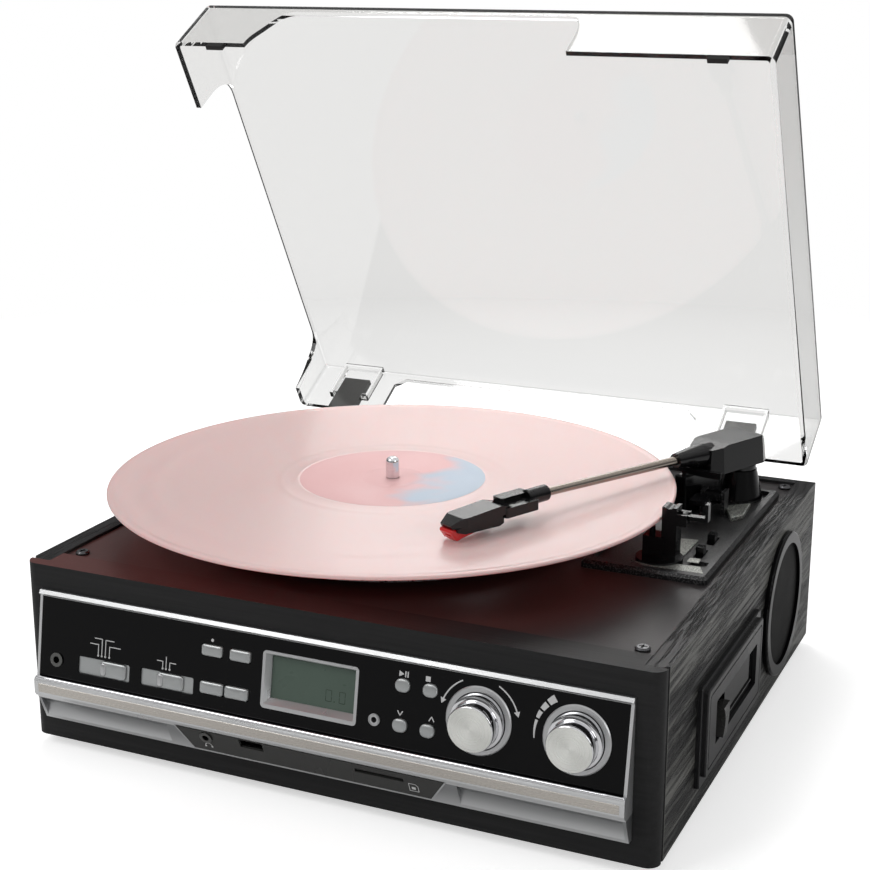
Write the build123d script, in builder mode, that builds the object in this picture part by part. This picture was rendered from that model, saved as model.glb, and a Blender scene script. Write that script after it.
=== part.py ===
"""Turntable with a built-in radio, a cassette slot, speakers and a hinged clear lid."""
import math
import os

from build123d import *

os.makedirs("parts", exist_ok=True)

# Case size, and where its middle stands in the row's frame
case_w = 335.0
case_d = 296.0
case_h = 94.0
foot_h = 6.0
case_x = 0.8
case_y = -4.17
half_w = case_w / 2
half_d = case_d / 2

# Boards
side_t = 10.5
front_t = 12.0
rear_t = 6.0
corner_r = 6.2
inner_w = case_w - 2 * side_t
deck_t = 3.0
deck_top = case_h - 1.5
deck_under = deck_top - deck_t
rail_depth = 18.0
fit_gap = 0.2
body_gap = 0.3

# Sloped control panel: lies back from vertical by this angle, starts at this height
panel_lean = math.degrees(math.atan(0.18))
panel_top_z = case_h - 16.0
panel_top_out = 1.0
panel_left = -half_w + 9.9
panel_right = half_w - 12.1
panel_t = 2.0
panel_long = 42.2

# Record, platter and drive
disc_to_arm = (158.9, 117.8)
disc_x = half_w - 192.9
disc_y = -14.8
disc_r = 150.8
disc_t = 2.0
disc_top = case_h + 25.0
disc_bottom = disc_top - disc_t
spindle_r = 3.58
spindle_shaft_r = 3.4
spindle_top = disc_top + 11.3
spindle_shoulder = disc_top + 0.3
mat_t = 2.1
mat_r = 98.0
platter_r = 100.0
platter_top = disc_bottom - mat_t
platter_bottom = deck_top + 4.5
drum_r = 62.0
pulley_r = 5.5
pulley_off = 57.3
pulley_x = disc_x - pulley_off
pulley_y = disc_y - pulley_off
belt_z = platter_bottom + 5.5
belt_w = 4.0
belt_t = 0.8

# Tonearm: pivot in plan, heading towards the record, height of the pivot axis
arm_x = disc_x + disc_to_arm[0]
arm_y = disc_y + disc_to_arm[1]
arm_heading = 24.4
arm_axis_h = 32.0

# Lid: hinge axis, open angle, outside size
hinge_y = half_d - 8.0
hinge_z = case_h - 5.0
lid_open = 60.7
lid_w = 331.0
lid_x = -1.5
lid_l = 272.3
lid_wall = 39.0
lid_t = 2.5
lid_side_t = 3.0
lid_rim_z = case_h + 3.5
lid_rear_y = hinge_y - 13.7
hinge_xs = (-half_w + 32.5, half_w - 48.0)
screw_spots = (
    (-half_w + 17.5, -half_d + 25.0),
    (half_w - 17.5, -half_d + 25.0),
    (-half_w + 14.9, half_d - 13.5),
    (half_w - 14.9, half_d - 13.5),
)

# Switches on the tonearm plate
switch_x = arm_x + 8.0
switch_ys = (arm_y - 104.0, arm_y - 82.5)


def level(z):
    """Horizontal plane over the case's middle, z above the case's bottom edge."""
    return Plane(origin=(case_x, case_y, foot_h + z))


def across(x):
    """Plane of front-to-back and height, at x from the case's middle."""
    return Plane(origin=(case_x + x, case_y, foot_h), x_dir=(0, 1, 0), z_dir=(1, 0, 0))


def facing(y):
    """Plane of width and height that looks forwards, at y from the case's middle."""
    return Plane(origin=(case_x, case_y + y, foot_h), x_dir=(1, 0, 0), z_dir=(0, -1, 0))


def right_face(out):
    """Plane of the right side, moved outwards."""
    return Plane(origin=(case_x + half_w + out, case_y, foot_h), x_dir=(0, 1, 0), z_dir=(1, 0, 0))


def left_face(out):
    """Plane of the left side, moved outwards, its x towards the front."""
    return Plane(origin=(case_x - half_w - out, case_y, foot_h), x_dir=(0, -1, 0), z_dir=(-1, 0, 0))


lean = math.radians(panel_lean)
panel = Plane(
    origin=(case_x, case_y - half_d - panel_top_out, foot_h + panel_top_z),
    x_dir=(1, 0, 0),
    z_dir=(0, -math.cos(lean), math.sin(lean)),
)
heading = math.radians(arm_heading)
arm_out = Vector(-math.sin(heading), -math.cos(heading), 0)
arm_side = Vector(math.cos(heading), -math.sin(heading), 0)
arm_foot = Vector(case_x + arm_x, case_y + arm_y, foot_h + case_h)


def arm_level(h):
    """Horizontal plane at the tonearm's pivot, x along the arm, y towards its near side."""
    return Plane(origin=arm_foot + Vector(0, 0, h), x_dir=arm_out, z_dir=(0, 0, 1))


def arm_cut(s):
    """Upright plane along the arm, s towards its near side, x along the arm, y up."""
    return Plane(origin=arm_foot + arm_side * s, x_dir=arm_out, z_dir=arm_side * -1)


def arm_across(r, h):
    """Plane square to the arm at r from its pivot, looking outwards, x towards the near side."""
    return Plane(origin=arm_foot + arm_out * r + Vector(0, 0, h), x_dir=arm_side * -1, z_dir=arm_out)


turn = math.radians(lid_open)


def opened(y, z):
    """Where a point of the closed lid's side view stands when the lid is open."""
    dy = y - hinge_y
    dz = z - hinge_z
    return (
        hinge_y + dy * math.cos(turn) + dz * math.sin(turn),
        hinge_z - dy * math.sin(turn) + dz * math.cos(turn),
    )


lid_edge = opened(lid_rear_y, lid_rim_z + lid_wall)
lid_in = Vector(0, -math.sin(turn), -math.cos(turn))
lid_fore = Vector(0, -math.cos(turn), math.sin(turn))
lid_origin = Vector(case_x + lid_x, case_y + lid_edge[0], foot_h + lid_edge[1])
lid_plane = Plane(origin=lid_origin, x_dir=(1, 0, 0), z_dir=lid_in)


def lid_across(x):
    """Side view plane of the open lid at x from the case's middle, x back to front, y into the lid."""
    return Plane(
        origin=lid_origin + Vector(x - lid_x, 0, 0), x_dir=lid_fore, z_dir=Vector(1, 0, 0)
    )


def lid_front(back):
    """Plane of the open lid's front wall, moved back, x to the left, y into the lid."""
    return Plane(
        origin=lid_origin + lid_fore * (lid_l - back), x_dir=(-1, 0, 0), z_dir=lid_fore
    )


# Front board with the top rail, and the pocket that takes the controls
pocket_left = panel_left + 1.4
pocket_right = panel_right - 1.2
pocket_low = 13.5
pocket_high = panel_top_z + 1.0
pocket_depth = 8.0
nose_t = 6.5
screw_pilot_r = 1.5
with BuildPart() as front_board:
    with BuildSketch(level(0)):
        with Locations((0, -half_d + nose_t / 2)):
            Rectangle(case_w, nose_t)
        with Locations((0, -half_d + front_t / 2)):
            Rectangle(inner_w - 2 * fit_gap, front_t)
    extrude(amount=case_h)
    outer = front_board.edges().filter_by(Axis.Z).sort_by(Axis.Y)[:2]
    fillet(outer, corner_r)
    with BuildSketch(level(case_h - 14)):
        with Locations((0, -half_d + rail_depth - (rail_depth - front_t) / 2)):
            Rectangle(inner_w - 2 * fit_gap, rail_depth - front_t)
    extrude(amount=14)
    with BuildSketch(level(deck_under - 11)):
        with Locations((0, -half_d + rail_depth + 5)):
            Rectangle(inner_w - 2 * fit_gap, 10)
    extrude(amount=11 - fit_gap)
    with BuildSketch(facing(-half_d + pocket_depth)):
        with Locations(((pocket_left + pocket_right) / 2, (pocket_low + pocket_high) / 2)):
            Rectangle(pocket_right - pocket_left, pocket_high - pocket_low)
    extrude(amount=pocket_depth + 1, mode=Mode.SUBTRACT)
    with BuildSketch(level(deck_under)):
        with Locations(*screw_spots[:2]):
            Circle(screw_pilot_r)
    extrude(amount=-9, mode=Mode.SUBTRACT)
front_board.part.label = "front_board"
export_step(front_board.part, "parts/front_board.step")

# Side boards, right one opened for the cassette unit and both for the speakers
speaker_y = half_d - 76.0
speaker_z = case_h / 2
speaker_hole_r = 35.0
slot_y = -half_d + 111.0
slot_z = 40.3
well_w = 78.0
well_h = 25.0
side_front = -half_d + nose_t + 0.1
with BuildPart() as side_boards:
    with BuildSketch(level(0)):
        for way in (-1, 1):
            with Locations((way * (half_w - side_t / 2), (side_front + half_d) / 2)):
                Rectangle(side_t, half_d - side_front)
    extrude(amount=case_h)
    fronts = side_boards.edges().filter_by(Axis.Z).sort_by(Axis.Y)[:4].sort_by(Axis.X)
    chamfer([fronts[0], fronts[-1]], 2.4)
    with BuildSketch(across(-half_w - 1)):
        with Locations((speaker_y, speaker_z)):
            Circle(speaker_hole_r)
    extrude(amount=case_w + 2, mode=Mode.SUBTRACT)
    with BuildSketch(across(half_w - side_t - 1)):
        with Locations((slot_y, slot_z)):
            Rectangle(well_w + 5, well_h + 5)
    extrude(amount=side_t + 2, mode=Mode.SUBTRACT)
side_boards.part.label = "side_boards"
export_step(side_boards.part, "parts/side_boards.step")

# Rear board with notches for the hinge boxes and holes for the sockets; vented base plate
base_low = 0.8
base_t = 3.0
base_front = -half_d + front_t + fit_gap
base_back = half_d - rear_t - fit_gap
foot_xs = (-half_w + 35.5, half_w - 35.5)
foot_ys = (-half_d + 36.0, half_d - 32.0)
hinge_box_w = 27.0
hinge_box_low = hinge_z - 10.0
rca_xs = (-96.0, -78.0)
rca_z = 52.0
rca_r = 4.4
inlet_x = 92.0
inlet_z = 40.0
inlet_size = (24.0, 16.0)
vent_h = 3.0
with BuildPart() as rear_and_base:
    with BuildSketch(facing(half_d - rear_t)):
        with Locations((0, case_h / 2)):
            Rectangle(inner_w - 2 * fit_gap, case_h)
    extrude(amount=-rear_t)
    with BuildSketch(facing(half_d - rear_t - 1)):
        for x in hinge_xs:
            with Locations((x, (hinge_box_low + case_h + 1) / 2)):
                Rectangle(hinge_box_w + 2 * fit_gap, case_h + 1 - hinge_box_low)
        for x in rca_xs:
            with Locations((x, rca_z)):
                Circle(rca_r + fit_gap)
        with Locations((inlet_x, inlet_z)):
            Rectangle(inlet_size[0] + 2 * fit_gap, inlet_size[1] + 2 * fit_gap)
        for row in range(5):
            with Locations((0, 26 + row * 8)):
                SlotOverall(60, vent_h)
    extrude(amount=-(rear_t + 2), mode=Mode.SUBTRACT)
    with BuildSketch(level(base_low)):
        with Locations((0, (base_front + base_back) / 2)):
            Rectangle(inner_w - 2 * fit_gap, base_back - base_front)
        for x in (-120, 120):
            for row in range(5):
                with Locations((x, 40 + row * 9)):
                    SlotOverall(34, vent_h, mode=Mode.SUBTRACT)
    extrude(amount=base_t)
rear_and_base.part.label = "rear_and_base"
export_step(rear_and_base.part, "parts/rear_and_base.step")

# Rubber feet
with BuildPart() as rubber_feet:
    with BuildSketch(level(base_low)):
        for x in foot_xs:
            for y in foot_ys:
                with Locations((x, y)):
                    Circle(10.5)
    extrude(amount=-(foot_h + base_low), taper=6)
    with BuildSketch(level(-foot_h)):
        for x in foot_xs:
            for y in foot_ys:
                with Locations((x, y)):
                    Circle(4.0)
    extrude(amount=3.0, mode=Mode.SUBTRACT)
rubber_feet.part.label = "rubber_feet"
export_step(rubber_feet.part, "parts/rubber_feet.step")

# Deck plate let into the top of the case
deck_front = -half_d + rail_depth + fit_gap
deck_back = half_d - rear_t - fit_gap
slot_front = half_d - 30.6
bearing_hole_r = 6.2
arm_tail_r = 5.8
with BuildPart() as deck_plate:
    with BuildSketch(level(deck_under)):
        with Locations((0, (deck_front + deck_back) / 2)):
            Rectangle(inner_w - 2 * fit_gap, deck_back - deck_front)
        with Locations((disc_x, disc_y)):
            Circle(bearing_hole_r, mode=Mode.SUBTRACT)
        with Locations((pulley_x, pulley_y)):
            Circle(pulley_r + 3.5, mode=Mode.SUBTRACT)
        with Locations((arm_x, arm_y)):
            Circle(arm_tail_r + fit_gap, mode=Mode.SUBTRACT)
        for x in hinge_xs:
            with Locations((x, (slot_front + deck_back + 1) / 2)):
                Rectangle(hinge_box_w + 2 * fit_gap, deck_back + 1 - slot_front, mode=Mode.SUBTRACT)
        with Locations(*screw_spots):
            Circle(screw_pilot_r + 0.1, mode=Mode.SUBTRACT)
    extrude(amount=deck_t)
deck_plate.part.label = "deck_plate"
export_step(deck_plate.part, "parts/deck_plate.step")

# Deck screws: pan heads with a cross recess
with BuildPart() as deck_screws:
    with BuildSketch(level(deck_top)):
        with Locations(*screw_spots):
            Circle(3.6)
    extrude(amount=1.7)
    chamfer(deck_screws.edges().group_by(Axis.Z)[-1], 0.8)
    with BuildSketch(level(deck_top)):
        with Locations(*screw_spots):
            Circle(screw_pilot_r)
    extrude(amount=-8)
    with BuildSketch(level(deck_top + 0.7)):
        with Locations(*screw_spots):
            Rectangle(4.0, 0.9)
            Rectangle(0.9, 4.0)
    extrude(amount=2, mode=Mode.SUBTRACT)
deck_screws.part.label = "deck_screws"
export_step(deck_screws.part, "parts/deck_screws.step")

# Fascia: silver wedge moulding that carries the sloped panel, the band and the scooped skirt
band_out = 11.4
band_high = panel_top_z - 41.2
band_low = band_high - 10.2
skirt_low = band_low - 14.4
skirt_out = 3.2
skirt_top_out = 9.2
fascia_mid = (panel_left + panel_right) / 2
fascia_w = panel_right - panel_left
port_top = (fascia_mid - 74.4, fascia_mid + 70.5)
port_bottom = (port_top[0] + 7.7, port_top[1] - 9.0)
# Plane of the lower skirt under the band, which looks forwards and a little down
skirt_dir = Vector(0, -(band_low - skirt_low), -(skirt_top_out - skirt_out)).normalized()
skirt = Plane(
    origin=(case_x, case_y - half_d - skirt_top_out, foot_h + band_low),
    x_dir=(1, 0, 0),
    z_dir=skirt_dir,
)
port_top_edge = 0.6
port_bottom_edge = 14.2
port_recess = 1.0
port_proud = 0.4
port_shape = (
    (port_top[0] + 0.4, -port_top_edge),
    (port_bottom[0], -port_bottom_edge),
    (port_bottom[1], -port_bottom_edge),
    (port_top[1] - 0.4, -port_top_edge),
)
usb_x = port_bottom[0] + 34.6
usb_v = 3.6
usb_open = (12.3, 4.6)
phones_x = port_bottom[0] + 9.2
phones_v = 4.4
jack_r = 3.0
jack_bore_r = 1.8
card_x = port_bottom[1] - 25.4
card_v = 5.0
card_open = (25.2, 2.3)
strip_low = band_low + 3.1
strip_high = band_high - 2.5
with BuildPart() as fascia_frame:
    with BuildSketch(across(panel_left)):
        with BuildLine():
            Polyline(
                (-half_d, panel_top_z + 3.2),
                (-half_d - 1.6, panel_top_z + 3.2),
                (-half_d - 2.6, panel_top_z + 1.4),
                (-half_d - panel_top_out - 0.5, panel_top_z + 0.2),
                (-half_d - 8.6, band_high + 0.6),
                (-half_d - 9.6, band_high + 0.4),
                (-half_d - band_out + 0.7, band_high),
                (-half_d - band_out, band_high - 1.4),
                (-half_d - band_out, band_low + 2.2),
                (-half_d - band_out + 1.0, band_low + 0.5),
                (-half_d - skirt_top_out, band_low),
                (-half_d - skirt_out, skirt_low),
                (-half_d, skirt_low),
                close=True,
            )
        make_face()
    extrude(amount=fascia_w)
    with BuildSketch(panel.offset(-panel_t)):
        with Locations((fascia_mid, -panel_long / 2)):
            Rectangle(fascia_w - 3.0, panel_long)
    extrude(amount=8, mode=Mode.SUBTRACT)
    with BuildSketch(panel.offset(-panel_t)):
        with Locations((fascia_mid, -panel_long / 2 + 0.2)):
            Rectangle(fascia_w - 8.0, panel_long - 4.4)
    extrude(amount=-14, mode=Mode.SUBTRACT)
    with BuildSketch(across(port_top[0] + 5)):
        with BuildLine():
            Polyline(
                (-half_d + 1, band_high - 1.8),
                (-half_d - 8.8, band_high - 1.8),
                (-half_d - 8.8, band_low + 2.0),
                (-half_d - 7.0, band_low - 0.2),
                (-half_d - 1.6, skirt_low + 2.4),
                (-half_d + 1, skirt_low + 2.4),
                close=True,
            )
        make_face()
    extrude(amount=port_top[1] - port_top[0] - 10, mode=Mode.SUBTRACT)
    with BuildSketch(skirt.offset(-port_recess)):
        with BuildLine():
            Polyline(*port_shape, close=True)
        make_face()
    extrude(amount=6, mode=Mode.SUBTRACT)
    with BuildSketch(skirt.offset(-port_recess - 4)):
        with Locations((usb_x, -usb_v)):
            Rectangle(usb_open[0] + 0.8, usb_open[1] + 0.8)
        with Locations((card_x, -card_v)):
            Rectangle(card_open[0] + 2.6, card_open[1] + 2.6)
        with Locations((phones_x, -phones_v)):
            Circle(jack_r + 0.1)
    extrude(amount=6, mode=Mode.SUBTRACT)
    with BuildSketch(facing(-half_d - band_out + 0.25)):
        with Locations((fascia_mid + 0.1, (strip_low + strip_high) / 2)):
            Rectangle(fascia_w - 5.0, strip_high - strip_low)
    extrude(amount=2, mode=Mode.SUBTRACT)
    # Concave scoops beside the port panel, one shallow trough with rounded ends each
    for ends in ((panel_left + 1.6, port_top[0] - 5.5), (port_top[1] + 5.5, panel_right - 1.6)):
        with BuildSketch(across(ends[0])):
            with BuildLine():
                Spline(
                    (-half_d - skirt_top_out - 0.3, band_low - 0.9),
                    (-half_d - 4.6, band_low - 5.2),
                    (-half_d - skirt_out - 0.8, skirt_low + 1.5),
                )
                Polyline(
                    (-half_d - skirt_out - 0.8, skirt_low + 1.5),
                    (-half_d - 12, skirt_low + 3),
                    (-half_d - skirt_top_out - 0.3, band_low - 0.9),
                )
            make_face()
        extrude(amount=ends[1] - ends[0], mode=Mode.SUBTRACT)
fascia_frame.part.label = "fascia_frame"
export_step(fascia_frame.part, "parts/fascia_frame.step")

# Where the controls stand: across from the case's middle, down the slope, width, height
# The groups keep their spacing on a panel of the layout's width and move apart on a wider one
layout_w = 313.0
spacing = fascia_w / layout_w
knob_w = 20.4
tuning_x = fascia_mid + 85.0 * spacing
volume_x = fascia_mid + 131.8 * spacing
knob_z = panel_top_z - knob_w * math.cos(lean)
skirt_r = 12.9
knob_r = 11.2
knob_hole_r = 13.3
ring_r = 16.0
display_x = fascia_mid - 1.4
display_w = 20.5
display_size = (51.0, 28.0)
left_keys = display_x - 45.7 * spacing
right_keys = display_x + 54.9 * spacing
buttons = {
    "memory_button": (left_keys - 7.7, 11.8, 11.4, 5.6, 0.9),
    "mode_button": (left_keys + 7.9, 11.8, 11.4, 5.6, 0.9),
    "delete_button": (left_keys - 6.9, 30.3, 12.9, 6.0, 0.9),
    "record_button": (left_keys + 6.9, 30.3, 12.9, 6.0, 0.9),
    "play_button": (right_keys - 6.9, 10.9, 7.4, 6.4, 2.9),
    "stop_button": (right_keys + 7.0, 10.9, 7.4, 6.4, 2.9),
    "back_button": (right_keys - 7.0, 29.8, 7.4, 6.4, 2.9),
    "next_button": (right_keys + 6.9, 29.8, 7.4, 6.4, 2.9),
}
glass_x = display_x + 0.1
glass_w = 19.6
glass_size = (44.4, 20.8)
slide_recess = 1.0
function_recess = (panel_left + 39.6 * spacing, 31.8, 30.6, 8.8)
function_x = function_recess[0] + 5.5
function_travel = (-3.8, 1.9)
band_recess = (left_keys - 32.8 * spacing, 31.4, 30.5, 8.5)
band_x = band_recess[0] + 1.8
band_travel = (-1.9, 1.9)
slider_w = 15.4
slider_stem_w = 3.0
slider_stem_h = 2.0
aux_x = panel_left + 11.6 * spacing
aux_w = 31.6
lamp_x = display_x + 34.9 * spacing
lamp_w = 29.4
lamp_r = 2.2
lamp_rim_r = 2.9

# Sloped control panel with its holes and recesses
with BuildPart() as control_panel:
    with BuildSketch(panel.offset(-panel_t)):
        with Locations((fascia_mid, -panel_long / 2)):
            Rectangle(fascia_w - 3.0 - 0.1, panel_long - 0.1)
    extrude(amount=panel_t)
    with BuildSketch(panel.offset(-slide_recess)):
        for spot in (function_recess, band_recess):
            with Locations((spot[0], -spot[1])):
                RectangleRounded(spot[2], spot[3], 1.0)
    extrude(amount=slide_recess + 1, mode=Mode.SUBTRACT)
    with BuildSketch(panel.offset(-panel_t - 1)):
        for x, w, bw, bh, r in buttons.values():
            with Locations((x, -w)):
                RectangleRounded(bw + 2 * body_gap, bh + 2 * body_gap, r + body_gap)
        with Locations((display_x, -display_w)):
            RectangleRounded(display_size[0], display_size[1], 2.0)
        with Locations((aux_x, -aux_w)):
            Circle(jack_r)
        with Locations((lamp_x, -lamp_w)):
            Circle(lamp_r + 0.4)
        for x, spot, travel in (
            (function_x, function_recess, function_travel),
            (band_x, band_recess, band_travel),
        ):
            with Locations((x + (travel[0] + travel[1]) / 2, -spot[1])):
                Rectangle(
                    travel[1] - travel[0] + slider_stem_w + 2 * body_gap,
                    slider_stem_h + 2 * body_gap,
                )
    extrude(amount=panel_t + 2, mode=Mode.SUBTRACT)
    with BuildSketch(facing(-half_d)):
        for x in (tuning_x, volume_x):
            with Locations((x, knob_z)):
                Circle(knob_hole_r)
    extrude(amount=16, mode=Mode.SUBTRACT)
control_panel.part.label = "control_panel"
export_step(control_panel.part, "parts/control_panel.step")

# Raised rings around the two knob wells, and the rimmed indicator lamp
with BuildPart() as knob_rings:
    with BuildSketch(panel):
        for x in (tuning_x, volume_x):
            with Locations((x, -knob_w)):
                Circle(ring_r)
    extrude(amount=1.1)
    chamfer(knob_rings.edges().filter_by(GeomType.CIRCLE).group_by(Axis.Y)[0], 0.5)
    with BuildSketch(facing(-half_d)):
        for x in (tuning_x, volume_x):
            with Locations((x, knob_z)):
                Circle(knob_hole_r)
    extrude(amount=20, mode=Mode.SUBTRACT)
    with BuildSketch(panel):
        with Locations((lamp_x, -lamp_w)):
            Circle(lamp_rim_r)
    extrude(amount=0.9)
    with BuildSketch(panel.offset(-4.0)):
        with Locations((lamp_x, -lamp_w)):
            Circle(lamp_r + 0.4)
    extrude(amount=4.0)
    with BuildSketch(panel.offset(0.4)):
        with Locations((lamp_x, -lamp_w)):
            Circle(lamp_rim_r - 0.3)
            Circle(lamp_r, mode=Mode.SUBTRACT)
    extrude(amount=0.5, mode=Mode.SUBTRACT)
knob_rings.part.label = "knob_rings"
export_step(knob_rings.part, "parts/knob_rings.step")

# Display frame with walls that slope in to the glass
glass_depth = 3.0
with BuildPart() as display_frame:
    with BuildSketch(panel.offset(-glass_depth - 0.6)):
        with Locations((display_x, -display_w)):
            RectangleRounded(display_size[0], display_size[1], 2.0)
    extrude(amount=glass_depth + 0.6 + 0.35)
    with BuildSketch(panel.offset(-glass_depth)):
        with Locations((glass_x, -glass_w)):
            Rectangle(glass_size[0], glass_size[1])
    with BuildSketch(panel.offset(0.35)):
        with Locations((display_x, -display_w + 0.3)):
            Rectangle(display_size[0] - 3.0, display_size[1] - 3.4)
    loft(mode=Mode.SUBTRACT)
    with BuildSketch(panel.offset(-glass_depth - 1)):
        with Locations((glass_x, -glass_w)):
            Rectangle(glass_size[0], glass_size[1])
    extrude(amount=1.01, mode=Mode.SUBTRACT)
display_frame.part.label = "display_frame"
export_step(display_frame.part, "parts/display_frame.step")

# Display: front sheet on its cell
with BuildPart() as display_glass:
    with BuildSketch(panel.offset(-glass_depth - 1.6)):
        with Locations((glass_x, -glass_w)):
            Rectangle(glass_size[0] + 2, glass_size[1] + 2)
    extrude(amount=1.0)
    with BuildSketch(panel.offset(-glass_depth - 4.2)):
        with Locations((glass_x, -glass_w)):
            Rectangle(glass_size[0] + 3, glass_size[1] + 3)
    extrude(amount=2.6)
display_glass.part.label = "display_glass"
export_step(display_glass.part, "parts/display_glass.step")

# Push buttons: crowned cap, flange behind the panel, plunger
button_proud = 1.5
for name, (x, w, bw, bh, r) in buttons.items():
    with BuildPart() as button:
        with BuildSketch(panel.offset(-panel_t - body_gap)):
            with Locations((x, -w)):
                RectangleRounded(bw, bh, r)
        extrude(amount=panel_t + body_gap + button_proud)
        fillet(button.faces().sort_by(Axis.Y)[0].edges(), 0.6)
        with BuildSketch(panel.offset(-panel_t - body_gap - 1.0)):
            with Locations((x, -w)):
                Rectangle(bw - 0.2, bh + 1.6)
        extrude(amount=1.0)
        with BuildSketch(panel.offset(-panel_t - body_gap - 1.0)):
            with Locations((x, -w)):
                Circle(1.5)
        extrude(amount=-2.2)
    button.part.label = name
    export_step(button.part, f"parts/{name}.step")

# Function and band sliders: plates that run in the panel's recesses, a raised loop at the left end
loop_w = 3.0
loop_line = 0.7
for name, x, spot, travel in (
    ("function_slider", function_x, function_recess, function_travel),
    ("band_slider", band_x, band_recess, band_travel),
):
    with BuildPart() as slider:
        with BuildSketch(panel.offset(-slide_recess + body_gap)):
            with Locations((x, -spot[1])):
                RectangleRounded(slider_w, spot[3] - 2 * body_gap, 0.7)
        extrude(amount=1.5)
        fillet(slider.faces().sort_by(Axis.Y)[0].edges(), 0.35)
        with BuildSketch(panel.offset(-slide_recess + body_gap + 1.0)):
            with Locations((x - slider_w / 2 + 0.6 + loop_w / 2, -spot[1])):
                RectangleRounded(loop_w, spot[3] - 1.8, 1.2)
                RectangleRounded(
                    loop_w - 2 * loop_line, spot[3] - 1.8 - 2 * loop_line, 0.6, mode=Mode.SUBTRACT
                )
        extrude(amount=1.2)
        with BuildSketch(panel.offset(-slide_recess + body_gap)):
            with Locations((x, -spot[1])):
                Rectangle(slider_stem_w, slider_stem_h)
        extrude(amount=-4.5)
    slider.part.label = name
    export_step(slider.part, f"parts/{name}.step")

# Knobs: skirt, spun body, hollow back, shaft that runs in the control behind
knob_back_y = -half_d + 0.7
knob_step_y = -half_d - 8.4
knob_face_y = -half_d - 15.3
shaft_r = 3.0
shaft_end_y = -half_d + 3.9
for name, x in (("tuning_knob", tuning_x), ("volume_knob", volume_x)):
    with BuildPart() as knob:
        with BuildSketch(facing(knob_back_y)):
            with Locations((x, knob_z)):
                Circle(skirt_r)
        extrude(amount=knob_back_y - knob_step_y)
        chamfer(knob.edges().group_by(Axis.Y)[0], 0.7)
        with BuildSketch(facing(knob_step_y)):
            with Locations((x, knob_z)):
                Circle(knob_r)
        extrude(amount=knob_step_y - knob_face_y)
        fillet(knob.edges().group_by(Axis.Y)[0], 0.8)
        with BuildSketch(facing(knob_face_y)):
            with Locations((x, knob_z)):
                Circle(knob_r - 1.6)
                Circle(knob_r - 2.2, mode=Mode.SUBTRACT)
        extrude(amount=-0.4, mode=Mode.SUBTRACT)
        with BuildSketch(facing(knob_back_y)):
            with Locations((x, knob_z)):
                Circle(9.5)
        extrude(amount=knob_back_y - knob_step_y + 2, mode=Mode.SUBTRACT)
        with BuildSketch(facing(shaft_end_y)):
            with Locations((x, knob_z)):
                Circle(shaft_r)
        extrude(amount=shaft_end_y - knob_face_y - 2)
    knob.part.label = name
    export_step(knob.part, f"parts/{name}.step")

# Circuit board in the pocket, with its switches and the rotary controls behind the knobs
board_t = 1.6
board_h = 46.0
board_y = -half_d + pocket_depth - board_t
bush_bore_r = shaft_r + 0.06
with BuildPart() as control_board:
    with BuildSketch(facing(board_y + board_t)):
        with Locations(((pocket_left + pocket_right) / 2, pocket_high - 2 - board_h / 2)):
            Rectangle(pocket_right - pocket_left - 12, board_h)
    extrude(amount=board_t)
    with BuildSketch(facing(board_y)):
        for x, w, bw, bh, r in buttons.values():
            with Locations((x, panel_top_z - w * math.cos(lean) - 0.5)):
                Rectangle(6, 6)
        for x, spot in ((function_x, function_recess), (band_x, band_recess)):
            with Locations((x, panel_top_z - spot[1] * math.cos(lean))):
                Rectangle(16, 6)
    extrude(amount=1.6)
    with BuildSketch(facing(board_y)):
        for x in (tuning_x, volume_x):
            with Locations((x, knob_z)):
                Rectangle(17, 17)
    extrude(amount=4.6)
    with BuildSketch(facing(board_y - 4.6)):
        for x in (tuning_x, volume_x):
            with Locations((x, knob_z)):
                Circle(4.6)
    extrude(amount=4.0)
    with BuildSketch(facing(shaft_end_y + 0.5)):
        for x in (tuning_x, volume_x):
            with Locations((x, knob_z)):
                Circle(bush_bore_r)
    extrude(amount=10, mode=Mode.SUBTRACT)
control_board.part.label = "control_board"
export_step(control_board.part, "parts/control_board.step")

# Champagne strip on the fascia's band
with BuildPart() as band_strip:
    with BuildSketch(across(panel_left + 2.6)):
        with Locations((-half_d - band_out, (strip_low + strip_high) / 2)):
            Rectangle(0.5, strip_high - strip_low)
    extrude(amount=fascia_w - 5.0)
    fillet(band_strip.edges().filter_by(Axis.X).group_by(Axis.Y)[0], 0.2)
band_strip.part.label = "band_strip"
export_step(band_strip.part, "parts/band_strip.step")

# Port panel on the skirt
with BuildPart() as port_panel:
    with BuildSketch(skirt.offset(-port_recess)):
        with BuildLine():
            Polyline(*port_shape, close=True)
        make_face()
    extrude(amount=port_recess + port_proud)
    with BuildSketch(skirt.offset(-port_recess - 1)):
        with Locations((usb_x, -usb_v)):
            Rectangle(usb_open[0] + 0.6, usb_open[1] + 0.6)
        with Locations((card_x, -card_v)):
            Rectangle(card_open[0], card_open[1])
        with Locations((phones_x, -phones_v)):
            Circle(jack_r)
    extrude(amount=5, mode=Mode.SUBTRACT)
port_panel.part.label = "port_panel"
export_step(port_panel.part, "parts/port_panel.step")

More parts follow.
